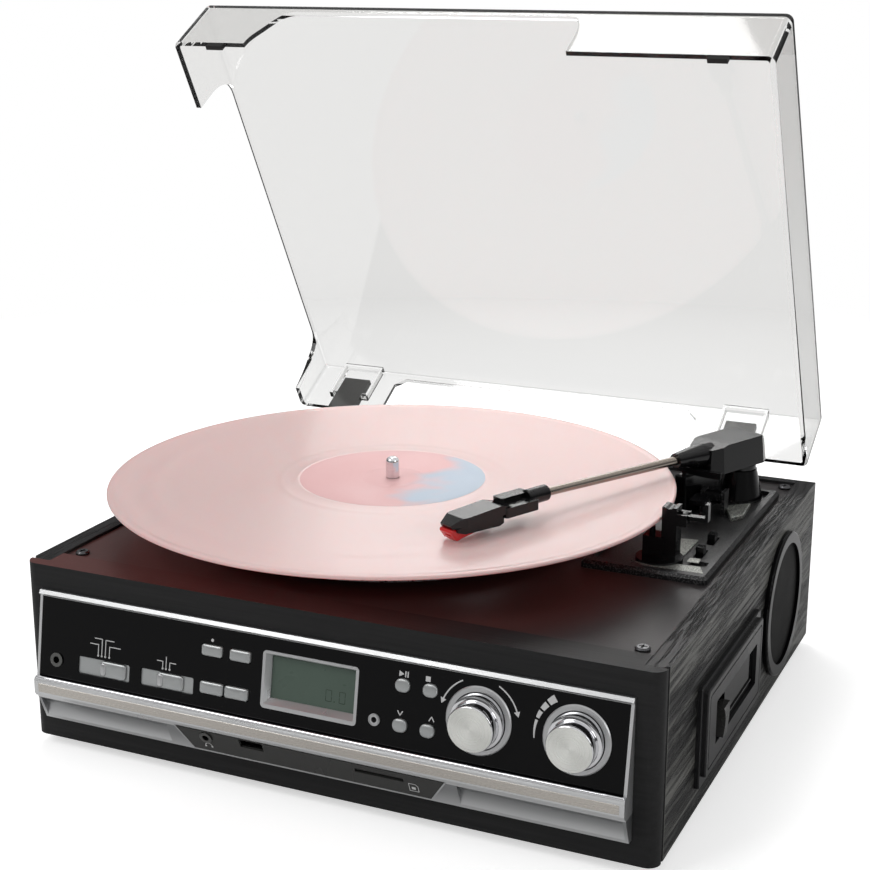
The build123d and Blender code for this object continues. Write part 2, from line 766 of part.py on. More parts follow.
# Sockets at the front: data shell with its tongue, card slot, jacks
with BuildPart() as front_sockets:
    with BuildSketch(skirt.offset(-0.4)):
        with Locations((usb_x, -usb_v)):
            Rectangle(usb_open[0] + 0.6, usb_open[1] + 0.6)
    extrude(amount=-12.4)
    with BuildSketch(skirt):
        with Locations((usb_x, -usb_v)):
            Rectangle(usb_open[0], usb_open[1])
    extrude(amount=-12.4, mode=Mode.SUBTRACT)
    with BuildSketch(skirt.offset(-2.0)):
        with Locations((usb_x, -usb_v + 0.8)):
            Rectangle(11.0, 1.8)
    extrude(amount=-10.6)
    with BuildSketch(skirt.offset(-port_recess)):
        with Locations((card_x, -card_v)):
            Rectangle(card_open[0] + 2.4, card_open[1] + 2.4)
    extrude(amount=-12)
    with BuildSketch(skirt):
        with Locations((card_x, -card_v)):
            Rectangle(card_open[0] - 0.4, card_open[1] - 0.4)
    extrude(amount=-11, mode=Mode.SUBTRACT)
    for plane, x, down, rim in ((panel, aux_x, aux_w, 3.6), (skirt, phones_x, phones_v, 3.4)):
        lift = port_proud if plane is skirt else 0.0
        with BuildSketch(plane.offset(lift)):
            with Locations((x, -down)):
                Circle(rim)
        extrude(amount=0.8)
        with BuildSketch(plane.offset(lift)):
            with Locations((x, -down)):
                Circle(jack_r)
        extrude(amount=-9.0)
        with BuildSketch(plane.offset(2)):
            with Locations((x, -down)):
                Circle(jack_bore_r)
        extrude(amount=-10.0, mode=Mode.SUBTRACT)
front_sockets.part.label = "front_sockets"
export_step(front_sockets.part, "parts/front_sockets.step")

# Speakers, one in each side
speaker_rim_r = 40.0
speaker_open_r = 33.6
speaker_proud = 3.0
with BuildPart() as speaker_rims:
    for plane, y in ((right_face(0), speaker_y), (left_face(0), -speaker_y)):
        with BuildSketch(plane):
            with Locations((y, speaker_z)):
                Circle(speaker_rim_r)
        extrude(amount=speaker_proud)
        with BuildSketch(plane):
            with Locations((y, speaker_z)):
                Circle(speaker_hole_r - 0.1)
        extrude(amount=-7)
        with BuildSketch(plane.offset(speaker_proud)):
            with Locations((y, speaker_z)):
                Circle(speaker_open_r)
        extrude(amount=-12, mode=Mode.SUBTRACT)
    ends = speaker_rims.faces().filter_by(Axis.X).sort_by(Axis.X)
    fillet(ends[-1].outer_wire().edges(), 1.3)
    fillet(speaker_rims.faces().filter_by(Axis.X).sort_by(Axis.X)[0].outer_wire().edges(), 1.3)
speaker_rims.part.label = "speaker_rims"
export_step(speaker_rims.part, "parts/speaker_rims.step")

with BuildPart() as speaker_grilles:
    for plane, y in ((right_face(1.2), speaker_y), (left_face(1.2), -speaker_y)):
        with BuildSketch(plane):
            with Locations((y, speaker_z)):
                Circle(speaker_open_r)
        extrude(amount=-0.9)
speaker_grilles.part.label = "speaker_grilles"
export_step(speaker_grilles.part, "parts/speaker_grilles.step")

# Speaker drivers: flange inside the board, cone, magnet
with BuildPart() as speaker_drivers:
    for way in (-1, 1):
        face_x = way * half_w
        turn_axis = Axis((case_x, case_y + speaker_y, foot_h + speaker_z), (1, 0, 0))
        with BuildSketch(Plane(origin=(case_x, case_y + speaker_y, foot_h + speaker_z))):
            with BuildLine():
                Polyline(
                    (face_x - way * side_t, 0.0 + 33.0),
                    (face_x - way * side_t, 42.0),
                    (face_x - way * (side_t + 2), 42.0),
                    (face_x - way * (side_t + 2), 36.0),
                    (face_x - way * (side_t + 16), 24.0),
                    (face_x - way * (side_t + 16), 22.0),
                    (face_x - way * (side_t + 26), 22.0),
                    (face_x - way * (side_t + 26), 0.0),
                    (face_x - way * (side_t + 11), 0.0),
                    (face_x - way * (side_t + 14.4), 9.0),
                    (face_x - way * (side_t + 1.2), 31.0),
                    close=True,
                )
            make_face()
        revolve(axis=turn_axis)
speaker_drivers.part.label = "speaker_drivers"
export_step(speaker_drivers.part, "parts/speaker_drivers.step")

# Cassette unit: two-step bezel, deep well, hinged flap, eject push piece
bezel_back = (slot_y - 55.0, slot_y + 53.0, slot_z - 27.8, slot_z + 24.2)
bezel_front = (slot_y - 53.0, slot_y + 49.0, slot_z - 22.3, slot_z + 21.7)
slot_open = (slot_y - 38.0, slot_y + 37.5, slot_z - 10.8, slot_z + 11.2)
bezel_back_t = 2.5
bezel_t = 5.0
well_depth = 92.0
well_wall = 1.2

flap_area = (slot_open[0] + 20.5, slot_open[1] - body_gap, slot_open[2] + 0.9, slot_open[3] - 1.1)
flap_out = 1.6
flap_t = 1.6
flap_pin_z = flap_area[3] - 1.0
flap_pin_r = 1.1
flap_lug = (flap_area[0] - 3.5, flap_area[0] - 0.5)
flap_pin = Plane(
    origin=(case_x + half_w + flap_out, case_y + flap_lug[0], foot_h + flap_pin_z),
    x_dir=(1, 0, 0),
    z_dir=(0, 1, 0),
)


def middle(area):
    """Middle of a (front, back, low, high) area on the side."""
    return ((area[0] + area[1]) / 2, (area[2] + area[3]) / 2)


def spread(area):
    """Width and height of a (front, back, low, high) area on the side."""
    return (area[1] - area[0], area[3] - area[2])


with BuildPart() as cassette_unit:
    with BuildSketch(right_face(0)):
        with Locations(middle(bezel_back)):
            RectangleRounded(*spread(bezel_back), 2.0)
    extrude(amount=bezel_back_t)
    chamfer(cassette_unit.faces().sort_by(Axis.X)[-1].edges(), 0.5)
    with BuildSketch(right_face(bezel_back_t)):
        with Locations(middle(bezel_front)):
            RectangleRounded(*spread(bezel_front), 2.5)
    extrude(amount=bezel_t - bezel_back_t)
    fillet(cassette_unit.faces().sort_by(Axis.X)[-1].edges(), 0.8)
    with BuildSketch(right_face(bezel_t)):
        with Locations(middle(bezel_front)):
            RectangleRounded(spread(bezel_front)[0] - 6, spread(bezel_front)[1] - 6, 1.5)
            RectangleRounded(
                spread(bezel_front)[0] - 7.4, spread(bezel_front)[1] - 7.4, 1.2, mode=Mode.SUBTRACT
            )
    extrude(amount=-0.5, mode=Mode.SUBTRACT)
    with BuildSketch(right_face(-1)):
        with Locations(middle(slot_open)):
            Rectangle(*spread(slot_open))
    extrude(amount=bezel_t + 2, mode=Mode.SUBTRACT)
    with BuildSketch(right_face(-well_depth)):
        with Locations(middle(slot_open)):
            Rectangle(spread(slot_open)[0] + 2 * well_wall, spread(slot_open)[1] + 2 * well_wall)
    extrude(amount=well_depth)
    with BuildSketch(right_face(-well_depth + well_wall)):
        with Locations(middle(slot_open)):
            Rectangle(*spread(slot_open))
    extrude(amount=well_depth, mode=Mode.SUBTRACT)
    with BuildSketch(right_face(-well_depth)):
        with Locations(middle(slot_open)):
            Rectangle(spread(slot_open)[0] + 2 * well_wall, 16)
    extrude(amount=-14)
    with BuildSketch(right_face(0)):
        with Locations(((flap_lug[0] + flap_lug[1]) / 2, flap_pin_z + 0.3)):
            Rectangle(flap_lug[1] - flap_lug[0], 3.6)
    extrude(amount=3.4)
    with BuildSketch(flap_pin.offset(-1)):
        Circle(flap_pin_r + 0.05)
    extrude(amount=flap_area[1] + 3.6 - flap_lug[0], mode=Mode.SUBTRACT)
cassette_unit.part.label = "cassette_unit"
export_step(cassette_unit.part, "parts/cassette_unit.step")

with BuildPart() as cassette_flap:
    with BuildSketch(right_face(flap_out)):
        with Locations(middle(flap_area)):
            Rectangle(*spread(flap_area))
    extrude(amount=flap_t)
    with BuildSketch(right_face(flap_out + flap_t)):
        with Locations((middle(flap_area)[0], flap_area[2] + 3.2)):
            Rectangle(spread(flap_area)[0] - 6, 0.8)
    extrude(amount=0.6)
    with BuildSketch(flap_pin):
        Circle(flap_pin_r)
    extrude(amount=flap_area[1] + 2.0 - flap_lug[0])
cassette_flap.part.label = "cassette_flap"
export_step(cassette_flap.part, "parts/cassette_flap.step")

eject_y = slot_open[0] + 11.5
eject_z = slot_open[2] + 8.5
with BuildPart() as eject_piece:
    with BuildSketch(right_face(-6)):
        with Locations((eject_y, eject_z)):
            Rectangle(9.0, 13.0)
    extrude(amount=8.5)
    with BuildSketch(right_face(2.5)):
        with BuildLine():
            Polyline((eject_y + 5.0, eject_z + 7.5), (eject_y - 5.5, eject_z + 7.5))
            Spline(
                (eject_y - 5.5, eject_z + 7.5),
                (eject_y - 1.8, eject_z),
                (eject_y - 5.5, eject_z - 7.5),
            )
            Polyline((eject_y - 5.5, eject_z - 7.5), (eject_y + 1.0, eject_z - 7.5))
            Spline(
                (eject_y + 1.0, eject_z - 7.5),
                (eject_y + 5.0, eject_z),
                (eject_y + 5.0, eject_z + 7.5),
            )
        make_face()
    extrude(amount=4.5)
eject_piece.part.label = "eject_piece"
export_step(eject_piece.part, "parts/eject_piece.step")

# Sockets at the back: line outputs and power inlet
with BuildPart() as rear_sockets:
    with BuildSketch(facing(half_d)):
        with Locations(((rca_xs[0] + rca_xs[1]) / 2, rca_z)):
            RectangleRounded(34, 16, 1.5)
            for x in rca_xs:
                with Locations((x - (rca_xs[0] + rca_xs[1]) / 2, 0)):
                    Circle(rca_r, mode=Mode.SUBTRACT)
    extrude(amount=-1.2)
    with BuildSketch(facing(half_d - 8)):
        for x in rca_xs:
            with Locations((x, rca_z)):
                Circle(rca_r)
    extrude(amount=-16.5)
    with BuildSketch(facing(half_d + 8.6)):
        for x in rca_xs:
            with Locations((x, rca_z)):
                Circle(1.6)
    extrude(amount=10, mode=Mode.SUBTRACT)
    with BuildSketch(facing(half_d)):
        with Locations((inlet_x, inlet_z)):
            RectangleRounded(30, 22, 2)
    extrude(amount=-1.4)
    with BuildSketch(facing(half_d)):
        with Locations((inlet_x, inlet_z)):
            Rectangle(*inlet_size)
    extrude(amount=18)
    with BuildSketch(facing(half_d + 1.5)):
        with Locations((inlet_x, inlet_z)):
            SlotOverall(12, 6.6)
    extrude(amount=15, mode=Mode.SUBTRACT)
    with BuildSketch(facing(half_d - 13.5)):
        for x in (-3.2, 3.2):
            with Locations((inlet_x + x, inlet_z)):
                Circle(1.2)
    extrude(amount=-13.5)
rear_sockets.part.label = "rear_sockets"
export_step(rear_sockets.part, "parts/rear_sockets.step")


# Motor under the deck, with the pulley that drives the belt
motor_r = 17.0
motor_h = 22.0
motor_shaft_r = 1.0
pulley_bottom = deck_top + 3.5
pulley_top = belt_z + belt_w / 2 + 1.5
with BuildPart() as drive_motor:
    with BuildSketch(level(deck_under)):
        with Locations((pulley_x, pulley_y)):
            Circle(motor_r)
    extrude(amount=-motor_h)
    fillet(drive_motor.edges().group_by(Axis.Z)[0], 1.5)
    with BuildSketch(level(deck_under)):
        with Locations((pulley_x, pulley_y)):
            Circle(4.0)
    extrude(amount=deck_t + 1.0)
    with BuildSketch(level(deck_top + 1.0)):
        with Locations((pulley_x, pulley_y)):
            Circle(motor_shaft_r + 0.05)
    extrude(amount=-14, mode=Mode.SUBTRACT)
drive_motor.part.label = "drive_motor"
export_step(drive_motor.part, "parts/drive_motor.step")

with BuildPart() as motor_pulley:
    with BuildSketch(level(pulley_bottom)):
        with Locations((pulley_x, pulley_y)):
            Circle(pulley_r + 1.5)
    extrude(amount=pulley_top - pulley_bottom)
    with BuildSketch(level(belt_z - belt_w / 2 - 0.3)):
        with Locations((pulley_x, pulley_y)):
            Circle(pulley_r + 3)
            Circle(pulley_r, mode=Mode.SUBTRACT)
    extrude(amount=belt_w + 0.6, mode=Mode.SUBTRACT)
    with BuildSketch(level(pulley_bottom)):
        with Locations((pulley_x, pulley_y)):
            Circle(motor_shaft_r)
    extrude(amount=-(pulley_bottom - deck_under + 8))
motor_pulley.part.label = "motor_pulley"
export_step(motor_pulley.part, "parts/motor_pulley.step")

# Belt: two arcs and the straight runs between the pulley and the drum
belt_gap = 0.1
belt_span = math.hypot(disc_x - pulley_x, disc_y - pulley_y)
belt_turn = math.degrees(math.atan2(disc_y - pulley_y, disc_x - pulley_x))
belt_slope = math.asin((drum_r - pulley_r) / belt_span)
with BuildPart() as drive_belt:
    belt_plane = Plane(
        origin=(case_x + pulley_x, case_y + pulley_y, foot_h + belt_z - belt_w / 2),
        x_dir=(math.cos(math.radians(belt_turn)), math.sin(math.radians(belt_turn)), 0),
        z_dir=(0, 0, 1),
    )
    with BuildSketch(belt_plane):
        for grow, way in ((belt_gap + belt_t, Mode.ADD), (belt_gap, Mode.SUBTRACT)):
            big = drum_r + grow
            small = pulley_r + grow
            touch = (-math.sin(belt_slope), math.cos(belt_slope))
            with BuildLine():
                Line(
                    (small * touch[0], small * touch[1]),
                    (belt_span + big * touch[0], big * touch[1]),
                )
                ThreePointArc(
                    (belt_span + big * touch[0], big * touch[1]),
                    (belt_span + big, 0),
                    (belt_span + big * touch[0], -big * touch[1]),
                )
                Line(
                    (belt_span + big * touch[0], -big * touch[1]),
                    (small * touch[0], -small * touch[1]),
                )
                ThreePointArc(
                    (small * touch[0], -small * touch[1]),
                    (-small, 0),
                    (small * touch[0], small * touch[1]),
                )
            make_face(mode=way)
    extrude(amount=belt_w)
drive_belt.part.label = "drive_belt"
export_step(drive_belt.part, "parts/drive_belt.step")

# Platter bearing in the deck, closed below
bearing_bore_r = spindle_shaft_r + 0.05
bearing_bottom = deck_under - 20
spindle_bottom = bearing_bottom + 2.3
with BuildPart() as spindle_bearing:
    with BuildSketch(level(bearing_bottom)):
        with Locations((disc_x, disc_y)):
            Circle(bearing_hole_r - 0.2)
    extrude(amount=deck_top + 2.5 - bearing_bottom)
    with BuildSketch(level(deck_top)):
        with Locations((disc_x, disc_y)):
            Circle(11)
    extrude(amount=1.6)
    with BuildSketch(level(bearing_bottom + 2)):
        with Locations((disc_x, disc_y)):
            Circle(bearing_bore_r)
    extrude(amount=60, mode=Mode.SUBTRACT)
spindle_bearing.part.label = "spindle_bearing"
export_step(spindle_bearing.part, "parts/spindle_bearing.step")

with BuildPart() as spindle:
    with BuildSketch(level(spindle_bottom)):
        with Locations((disc_x, disc_y)):
            Circle(spindle_shaft_r)
    extrude(amount=spindle_shoulder - spindle_bottom)
    with BuildSketch(level(spindle_shoulder)):
        with Locations((disc_x, disc_y)):
            Circle(spindle_r)
    extrude(amount=spindle_top - spindle_shoulder)
    fillet(spindle.edges().group_by(Axis.Z)[-1], 2.6)
spindle.part.label = "spindle"
export_step(spindle.part, "parts/spindle.step")

# Platter: turned plate with a rim, the belt drum and a hub below
with BuildPart() as platter:
    with BuildSketch(level(platter_bottom)):
        with Locations((disc_x, disc_y)):
            Circle(platter_r)
    extrude(amount=platter_top - platter_bottom)
    chamfer(platter.edges().group_by(Axis.Z)[-1], 1.2)
    with BuildSketch(level(platter_bottom)):
        with Locations((disc_x, disc_y)):
            Circle(platter_r - 4)
            Circle(drum_r, mode=Mode.SUBTRACT)
            Circle(drum_r - 3)
            Circle(9, mode=Mode.SUBTRACT)
    extrude(amount=platter_top - platter_bottom - 4, mode=Mode.SUBTRACT)
    with BuildSketch(level(platter_bottom)):
        with Locations((disc_x, disc_y)):
            Circle(drum_r + 1)
            Circle(drum_r - 4, mode=Mode.SUBTRACT)
    extrude(amount=1.2, mode=Mode.SUBTRACT)
    with BuildSketch(level(platter_bottom)):
        with Locations((disc_x, disc_y)):
            Circle(spindle_shaft_r)
    extrude(amount=30, mode=Mode.SUBTRACT)
platter.part.label = "platter"
export_step(platter.part, "parts/platter.step")

with BuildPart() as platter_mat:
    with BuildSketch(level(platter_top)):
        with Locations((disc_x, disc_y)):
            Circle(mat_r)
            Circle(spindle_r + 0.2, mode=Mode.SUBTRACT)
    extrude(amount=mat_t)
    with BuildSketch(level(platter_top + mat_t)):
        with Locations((disc_x, disc_y)):
            for r in (40, 60, 80):
                Circle(r + 2)
                Circle(r, mode=Mode.SUBTRACT)
    extrude(amount=-0.7, mode=Mode.SUBTRACT)
platter_mat.part.label = "platter_mat"
export_step(platter_mat.part, "parts/platter_mat.step")

# Record: raised lip, sunk grooved ring, raised label
label_r = 49.0
with BuildPart() as vinyl_record:
    with BuildSketch(level(disc_bottom)):
        with Locations((disc_x, disc_y)):
            Circle(disc_r)
            Circle(spindle_r + 0.06, mode=Mode.SUBTRACT)
    extrude(amount=disc_t)
    chamfer(vinyl_record.edges().filter_by(GeomType.CIRCLE).sort_by(SortBy.RADIUS)[-2:], 0.5)
    with BuildSketch(level(disc_top)):
        with Locations((disc_x, disc_y)):
            Circle(disc_r - 3.5)
            Circle(label_r + 6, mode=Mode.SUBTRACT)
    extrude(amount=-0.3, mode=Mode.SUBTRACT)
vinyl_record.part.label = "vinyl_record"
export_step(vinyl_record.part, "parts/vinyl_record.step")

# Tonearm plate: bevelled moulding with a sunk floor and raised mounds
plate_left = arm_x - 44.5
plate_right = arm_x + 20.5
plate_front = arm_y - 139.0
plate_back = arm_y + 13.6
plate_h = 4.0
floor_h = 1.6
plate_mid = ((plate_left + plate_right) / 2, (plate_front + plate_back) / 2)
plate_size = (plate_right - plate_left, plate_back - plate_front)
pivot_seat_r = 13.2
swing_bore_r = 4.06
rest_x = arm_x - 9.0
rest_y = arm_y - 120.0
rest_foot_r = 12.0
lever_x = arm_x - 4.9
lever_y = arm_y - 33.0
lever_h = 9.5
lever_pin_r = 1.3
with BuildPart() as arm_plate:
    with BuildSketch(level(deck_top)):
        with Locations(plate_mid):
            RectangleRounded(plate_size[0], plate_size[1], 2.5)
    extrude(amount=plate_h)
    chamfer(arm_plate.edges().group_by(Axis.Z)[-1], 1.6)
    with BuildSketch(level(deck_top + floor_h)):
        with Locations((plate_mid[0], plate_mid[1] + 1.5)):
            RectangleRounded(plate_size[0] - 9, plate_size[1] - 12, 2.0)
    extrude(amount=plate_h, mode=Mode.SUBTRACT)
    with BuildSketch(level(deck_top + floor_h)):
        with Locations((arm_x, arm_y)):
            Circle(pivot_seat_r)
        with Locations((rest_x, rest_y)):
            Circle(rest_foot_r + fit_gap)
    extrude(amount=plate_h, mode=Mode.SUBTRACT)
    with BuildSketch(level(deck_top + floor_h)):
        with Locations((arm_x, arm_y)):
            Circle(pivot_seat_r)
    extrude(amount=1.2)
    with BuildSketch(level(deck_top + floor_h)):
        with Locations((switch_x + 3.0, (switch_ys[0] + switch_ys[1]) / 2)):
            RectangleRounded(13, 44, 3)
    extrude(amount=1.6)
    with BuildSketch(level(deck_top - 1)):
        with Locations((arm_x, arm_y)):
            Circle(arm_tail_r + 0.1)
        for y in switch_ys:
            with Locations((switch_x, y)):
                Rectangle(4.6, 13.4)
    extrude(amount=10, mode=Mode.SUBTRACT)
    with BuildSketch(level(deck_top + floor_h)):
        for side in (-1, 1):
            with Locations((lever_x + side * 5.7, lever_y)):
                Rectangle(2.0, 9.0)
    extrude(amount=lever_h + case_h - deck_top - floor_h + 4)
    with BuildSketch(across(lever_x - 6.7)):
        with Locations((lever_y, case_h + lever_h)):
            Circle(lever_pin_r)
    extrude(amount=13.4)
arm_plate.part.label = "arm_plate"
export_step(arm_plate.part, "parts/arm_plate.step")

# Arm supports: pivot cone with the yoke's bore, lift block, arm rest with saddle and clip pin
cone_top = 17.5
block_h = deck_top + floor_h - case_h
bar_r = 41.5
bar_half = 1.6
bar_low = 22.4
bar_top = 25.9
bar_stem_r = 2.0
tall_x = rest_x + 5.7
rest_top = 31.0
clip_pin_h = 26.0
clip_x = rest_x + 12.1
with BuildPart() as arm_supports:
    with BuildSketch(arm_level(deck_top + floor_h + 1.2 - case_h)):
        Circle(pivot_seat_r)
    with BuildSketch(arm_level(cone_top)):
        Circle(9.6)
    loft()
    with BuildSketch(arm_level(deck_top + floor_h + 1.2 - case_h)):
        Circle(arm_tail_r)
    extrude(amount=-(floor_h + 1.2 + deck_t + 5))
    with BuildSketch(arm_level(cone_top + 1)):
        Circle(swing_bore_r)
    extrude(amount=-40, mode=Mode.SUBTRACT)
    with BuildSketch(arm_level(block_h)):
        with Locations((30.0, -4.0)):
            RectangleRounded(32, 8, 1.0)
    extrude(amount=20.6 - block_h)
    with BuildSketch(arm_level(block_h)):
        with Locations((bar_r, -4.0)):
            Circle(bar_stem_r + 0.04)
    extrude(amount=30, mode=Mode.SUBTRACT)
    with BuildSketch(level(deck_top + floor_h)):
        with Locations((rest_x, rest_y)):
            Circle(rest_foot_r)
    extrude(amount=3.4)
    with BuildSketch(level(deck_top + floor_h)):
        with Locations((rest_x - 2.0, rest_y)):
            Rectangle(11, 10)
    extrude(amount=15)
    with BuildSketch(level(deck_top + floor_h)):
        with Locations((rest_x - 4.0, rest_y)):
            Circle(1.6)
    extrude(amount=19)
    with BuildSketch(level(deck_top + floor_h)):
        with Locations((tall_x, rest_y)):
            Rectangle(7.6, 9)
    extrude(amount=rest_top + case_h - deck_top - floor_h)
    with BuildSketch(facing(rest_y - 8)):
        with Locations((tall_x, case_h + rest_top + 2.2)):
            Circle(3.0)
    extrude(amount=-16, mode=Mode.SUBTRACT)
    with BuildSketch(level(case_h + clip_pin_h - 4)):
        for side in (-1, 1):
            with Locations((clip_x - 1.1, rest_y + side * 3.4)):
                Rectangle(7.0, 2.0)
    extrude(amount=5.8)
    with BuildSketch(facing(rest_y - 4.4)):
        with Locations((clip_x, case_h + clip_pin_h)):
            Circle(1.0)
    extrude(amount=-8.8)
arm_supports.part.label = "arm_supports"
export_step(arm_supports.part, "parts/arm_supports.step")

# Yoke: shaft that turns in the base, block and cross pin that carry the arm
yoke_h = 19.2
cross_pin_r = 2.0
yoke_head = cross_pin_r + 0.7
with BuildPart() as arm_yoke:
    with BuildSketch(arm_level(yoke_h)):
        Circle(swing_bore_r - 0.06)
    extrude(amount=-(yoke_h + 7))
    with BuildSketch(arm_level(cone_top + 0.4)):
        Circle(9.0)
    extrude(amount=yoke_h - cone_top + 0.6)
    with BuildSketch(arm_level(yoke_h)):
        Rectangle(9, 10)
    extrude(amount=arm_axis_h + yoke_head - yoke_h)
    with BuildSketch(arm_cut(-9.6)):
        with Locations((0, arm_axis_h)):
            Circle(cross_pin_r)
    extrude(amount=-19.2)
arm_yoke.part.label = "arm_yoke"
export_step(arm_yoke.part, "parts/arm_yoke.step")

# Line of the arm tube, from the housing to the headshell, and the collar at its start
tube_start = 29.0
collar_start = 28.0
collar_turn = 34.0
collar_end = 55.0
collar_r = 6.6
tube_end = 158.0
tube_rise = ((32.2, 50.0), (35.6, 158.0))
tube_tilt = (tube_rise[1][0] - tube_rise[0][0]) / (tube_rise[1][1] - tube_rise[0][1])


def tube_h(r):
    """Height of the tube's middle at r from the pivot."""
    return tube_rise[0][0] + (r - tube_rise[0][1]) * tube_tilt


# Housing: faceted hollow cover that rocks on the cross pin
housing_low = 22.0
housing_top = 37.4
with BuildPart() as arm_housing:
    with BuildSketch(arm_level(housing_low)):
        with BuildLine():
            Polyline(
                (-12.0, -9.5),
                (-5.0, -13.6),
                (26.0, -13.6),
                (35.0, -9.0),
                (35.0, 8.0),
                (28.0, 12.0),
                (-6.0, 12.0),
                (-12.0, 8.5),
                close=True,
            )
        make_face()
    extrude(amount=housing_top - housing_low, taper=6)
    with BuildSketch(arm_cut(-20)):
        with BuildLine():
            Polyline(
                (-16.0, 30.0),
                (-6.0, housing_top + 0.5),
                (-16.0, housing_top + 3),
                close=True,
            )
        make_face()
        with BuildLine():
            Polyline(
                (40.0, 34.0),
                (22.0, housing_top + 0.2),
                (40.0, housing_top + 3),
                close=True,
            )
        make_face()
    extrude(amount=-40, mode=Mode.SUBTRACT)
    with BuildSketch(arm_level(housing_low - 1)):
        with BuildLine():
            Polyline(
                (-9.6, -7.6),
                (-4.2, -10.8),
                (25.0, -10.8),
                (31.5, -7.5),
                (31.5, 6.6),
                (27.0, 9.9),
                (-5.0, 9.9),
                (-9.6, 7.0),
                close=True,
            )
        make_face()
    extrude(amount=housing_top - housing_low - 1.2, taper=4, mode=Mode.SUBTRACT)
    with BuildSketch(arm_across(collar_start, tube_h(collar_start))):
        Circle(collar_r)
    extrude(amount=8.0, mode=Mode.SUBTRACT)
    with BuildSketch(arm_level(arm_axis_h - 4)):
        for s in (-1, 1):
            with Locations((0, s * 8.4 - 0.4)):
                Rectangle(7, 2.0)
    extrude(amount=7.4)
    with BuildSketch(arm_cut(-9.7)):
        with Locations((0, arm_axis_h)):
            Circle(cross_pin_r + 0.05)
    extrude(amount=-19.4, mode=Mode.SUBTRACT)
arm_housing.part.label = "arm_housing"
export_step(arm_housing.part, "parts/arm_housing.step")

# Arm tube, tapered along its length
with BuildPart() as arm_tube:
    with BuildSketch(arm_across(tube_start, tube_h(tube_start))):
        Circle(2.6)
    with BuildSketch(arm_across(tube_end, tube_h(tube_end))):
        Circle(2.1)
    loft()
arm_tube.part.label = "arm_tube"
export_step(arm_tube.part, "parts/arm_tube.step")

with BuildPart() as arm_collar:
    with BuildSketch(arm_across(collar_turn, tube_h(collar_turn))):
        Circle(collar_r)
    with BuildSketch(arm_across(collar_end, tube_h(collar_end))):
        Circle(3.9)
    loft()
    with BuildSketch(arm_across(collar_start, tube_h(collar_start))):
        Circle(collar_r)
    extrude(amount=collar_turn - collar_start)
    with BuildSketch(arm_across(tube_start, tube_h(tube_start))):
        Circle(2.6)
    with BuildSketch(arm_across(tube_end, tube_h(tube_end))):
        Circle(2.1)
    loft(mode=Mode.SUBTRACT)
arm_collar.part.label = "arm_collar"
export_step(arm_collar.part, "parts/arm_collar.step")

# Headshell: sleeve on the tube, raised finger block, wedge nose
sleeve_start = 153.0
with BuildPart() as headshell:
    with BuildSketch(arm_across(sleeve_start, tube_h(sleeve_start))):
        Circle(4.2)
    extrude(amount=14)
    chamfer(headshell.edges().filter_by(GeomType.CIRCLE), 0.5)
    with BuildSketch(arm_level(31.0)):
        with Locations((173.5, -3.6)):
            RectangleRounded(19, 7.0, 1.2)
    extrude(amount=7.4)
    with BuildSketch(arm_level(31.0)):
        with Locations((176.0, 3.8)):
            RectangleRounded(22, 8.0, 1.2)
    extrude(amount=5.2)
    with BuildSketch(arm_cut(-6.6)):
        with BuildLine():
            Polyline(
                (182.0, 33.2),
                (219.0, 31.8),
                (220.0, 33.6),
                (214.0, 36.6),
                (190.0, 38.0),
                (182.0, 36.0),
                close=True,
            )
        make_face()
    extrude(amount=-13.6)
    with BuildSketch(arm_level(30.0)):
        with BuildLine():
            Polyline((208.0, -8.0), (222.0, -8.0), (222.0, -3.0), close=True)
        make_face()
        with BuildLine():
            Polyline((208.0, 8.4), (222.0, 8.4), (222.0, 3.0), close=True)
        make_face()
    extrude(amount=12, mode=Mode.SUBTRACT)
    with BuildSketch(arm_across(tube_start, tube_h(tube_start))):
        Circle(2.6)
    with BuildSketch(arm_across(tube_end, tube_h(tube_end))):
        Circle(2.1)
    loft(mode=Mode.SUBTRACT)
headshell.part.label = "headshell"
export_step(headshell.part, "parts/headshell.step")

with BuildPart() as cartridge:
    with BuildSketch(arm_cut(-5.6)):
        with BuildLine():
            Polyline(
                (187.2, 33.0),
                (187.2, 28.6),
                (190.0, 27.6),
                (212.0, 28.4),
                (217.0, 30.0),
                (217.6, 31.84),
                close=True,
            )
        make_face()
    extrude(amount=-11.6)
    with BuildSketch(arm_level(26.0)):
        with Locations((206.0, 0.2)):
            Rectangle(16, 4.4)
    extrude(amount=3.4, mode=Mode.SUBTRACT)
cartridge.part.label = "cartridge"
export_step(cartridge.part, "parts/cartridge.step")

stylus_low = disc_top - case_h + 0.3
with BuildPart() as stylus:
    with BuildSketch(arm_cut(-2.0)):
        with BuildLine():
            Polyline(
                (198.0, 29.4),
                (198.0, 27.6),
                (213.0, 26.2),
                (215.0, stylus_low),
                (216.4, stylus_low),
                (217.0, 26.4),
                (219.0, 28.0),
                (214.0, 28.4),
                (214.0, 29.4),
                close=True,
            )
        make_face()
    extrude(amount=-4.2)
stylus.part.label = "stylus"
export_step(stylus.part, "parts/stylus.step")

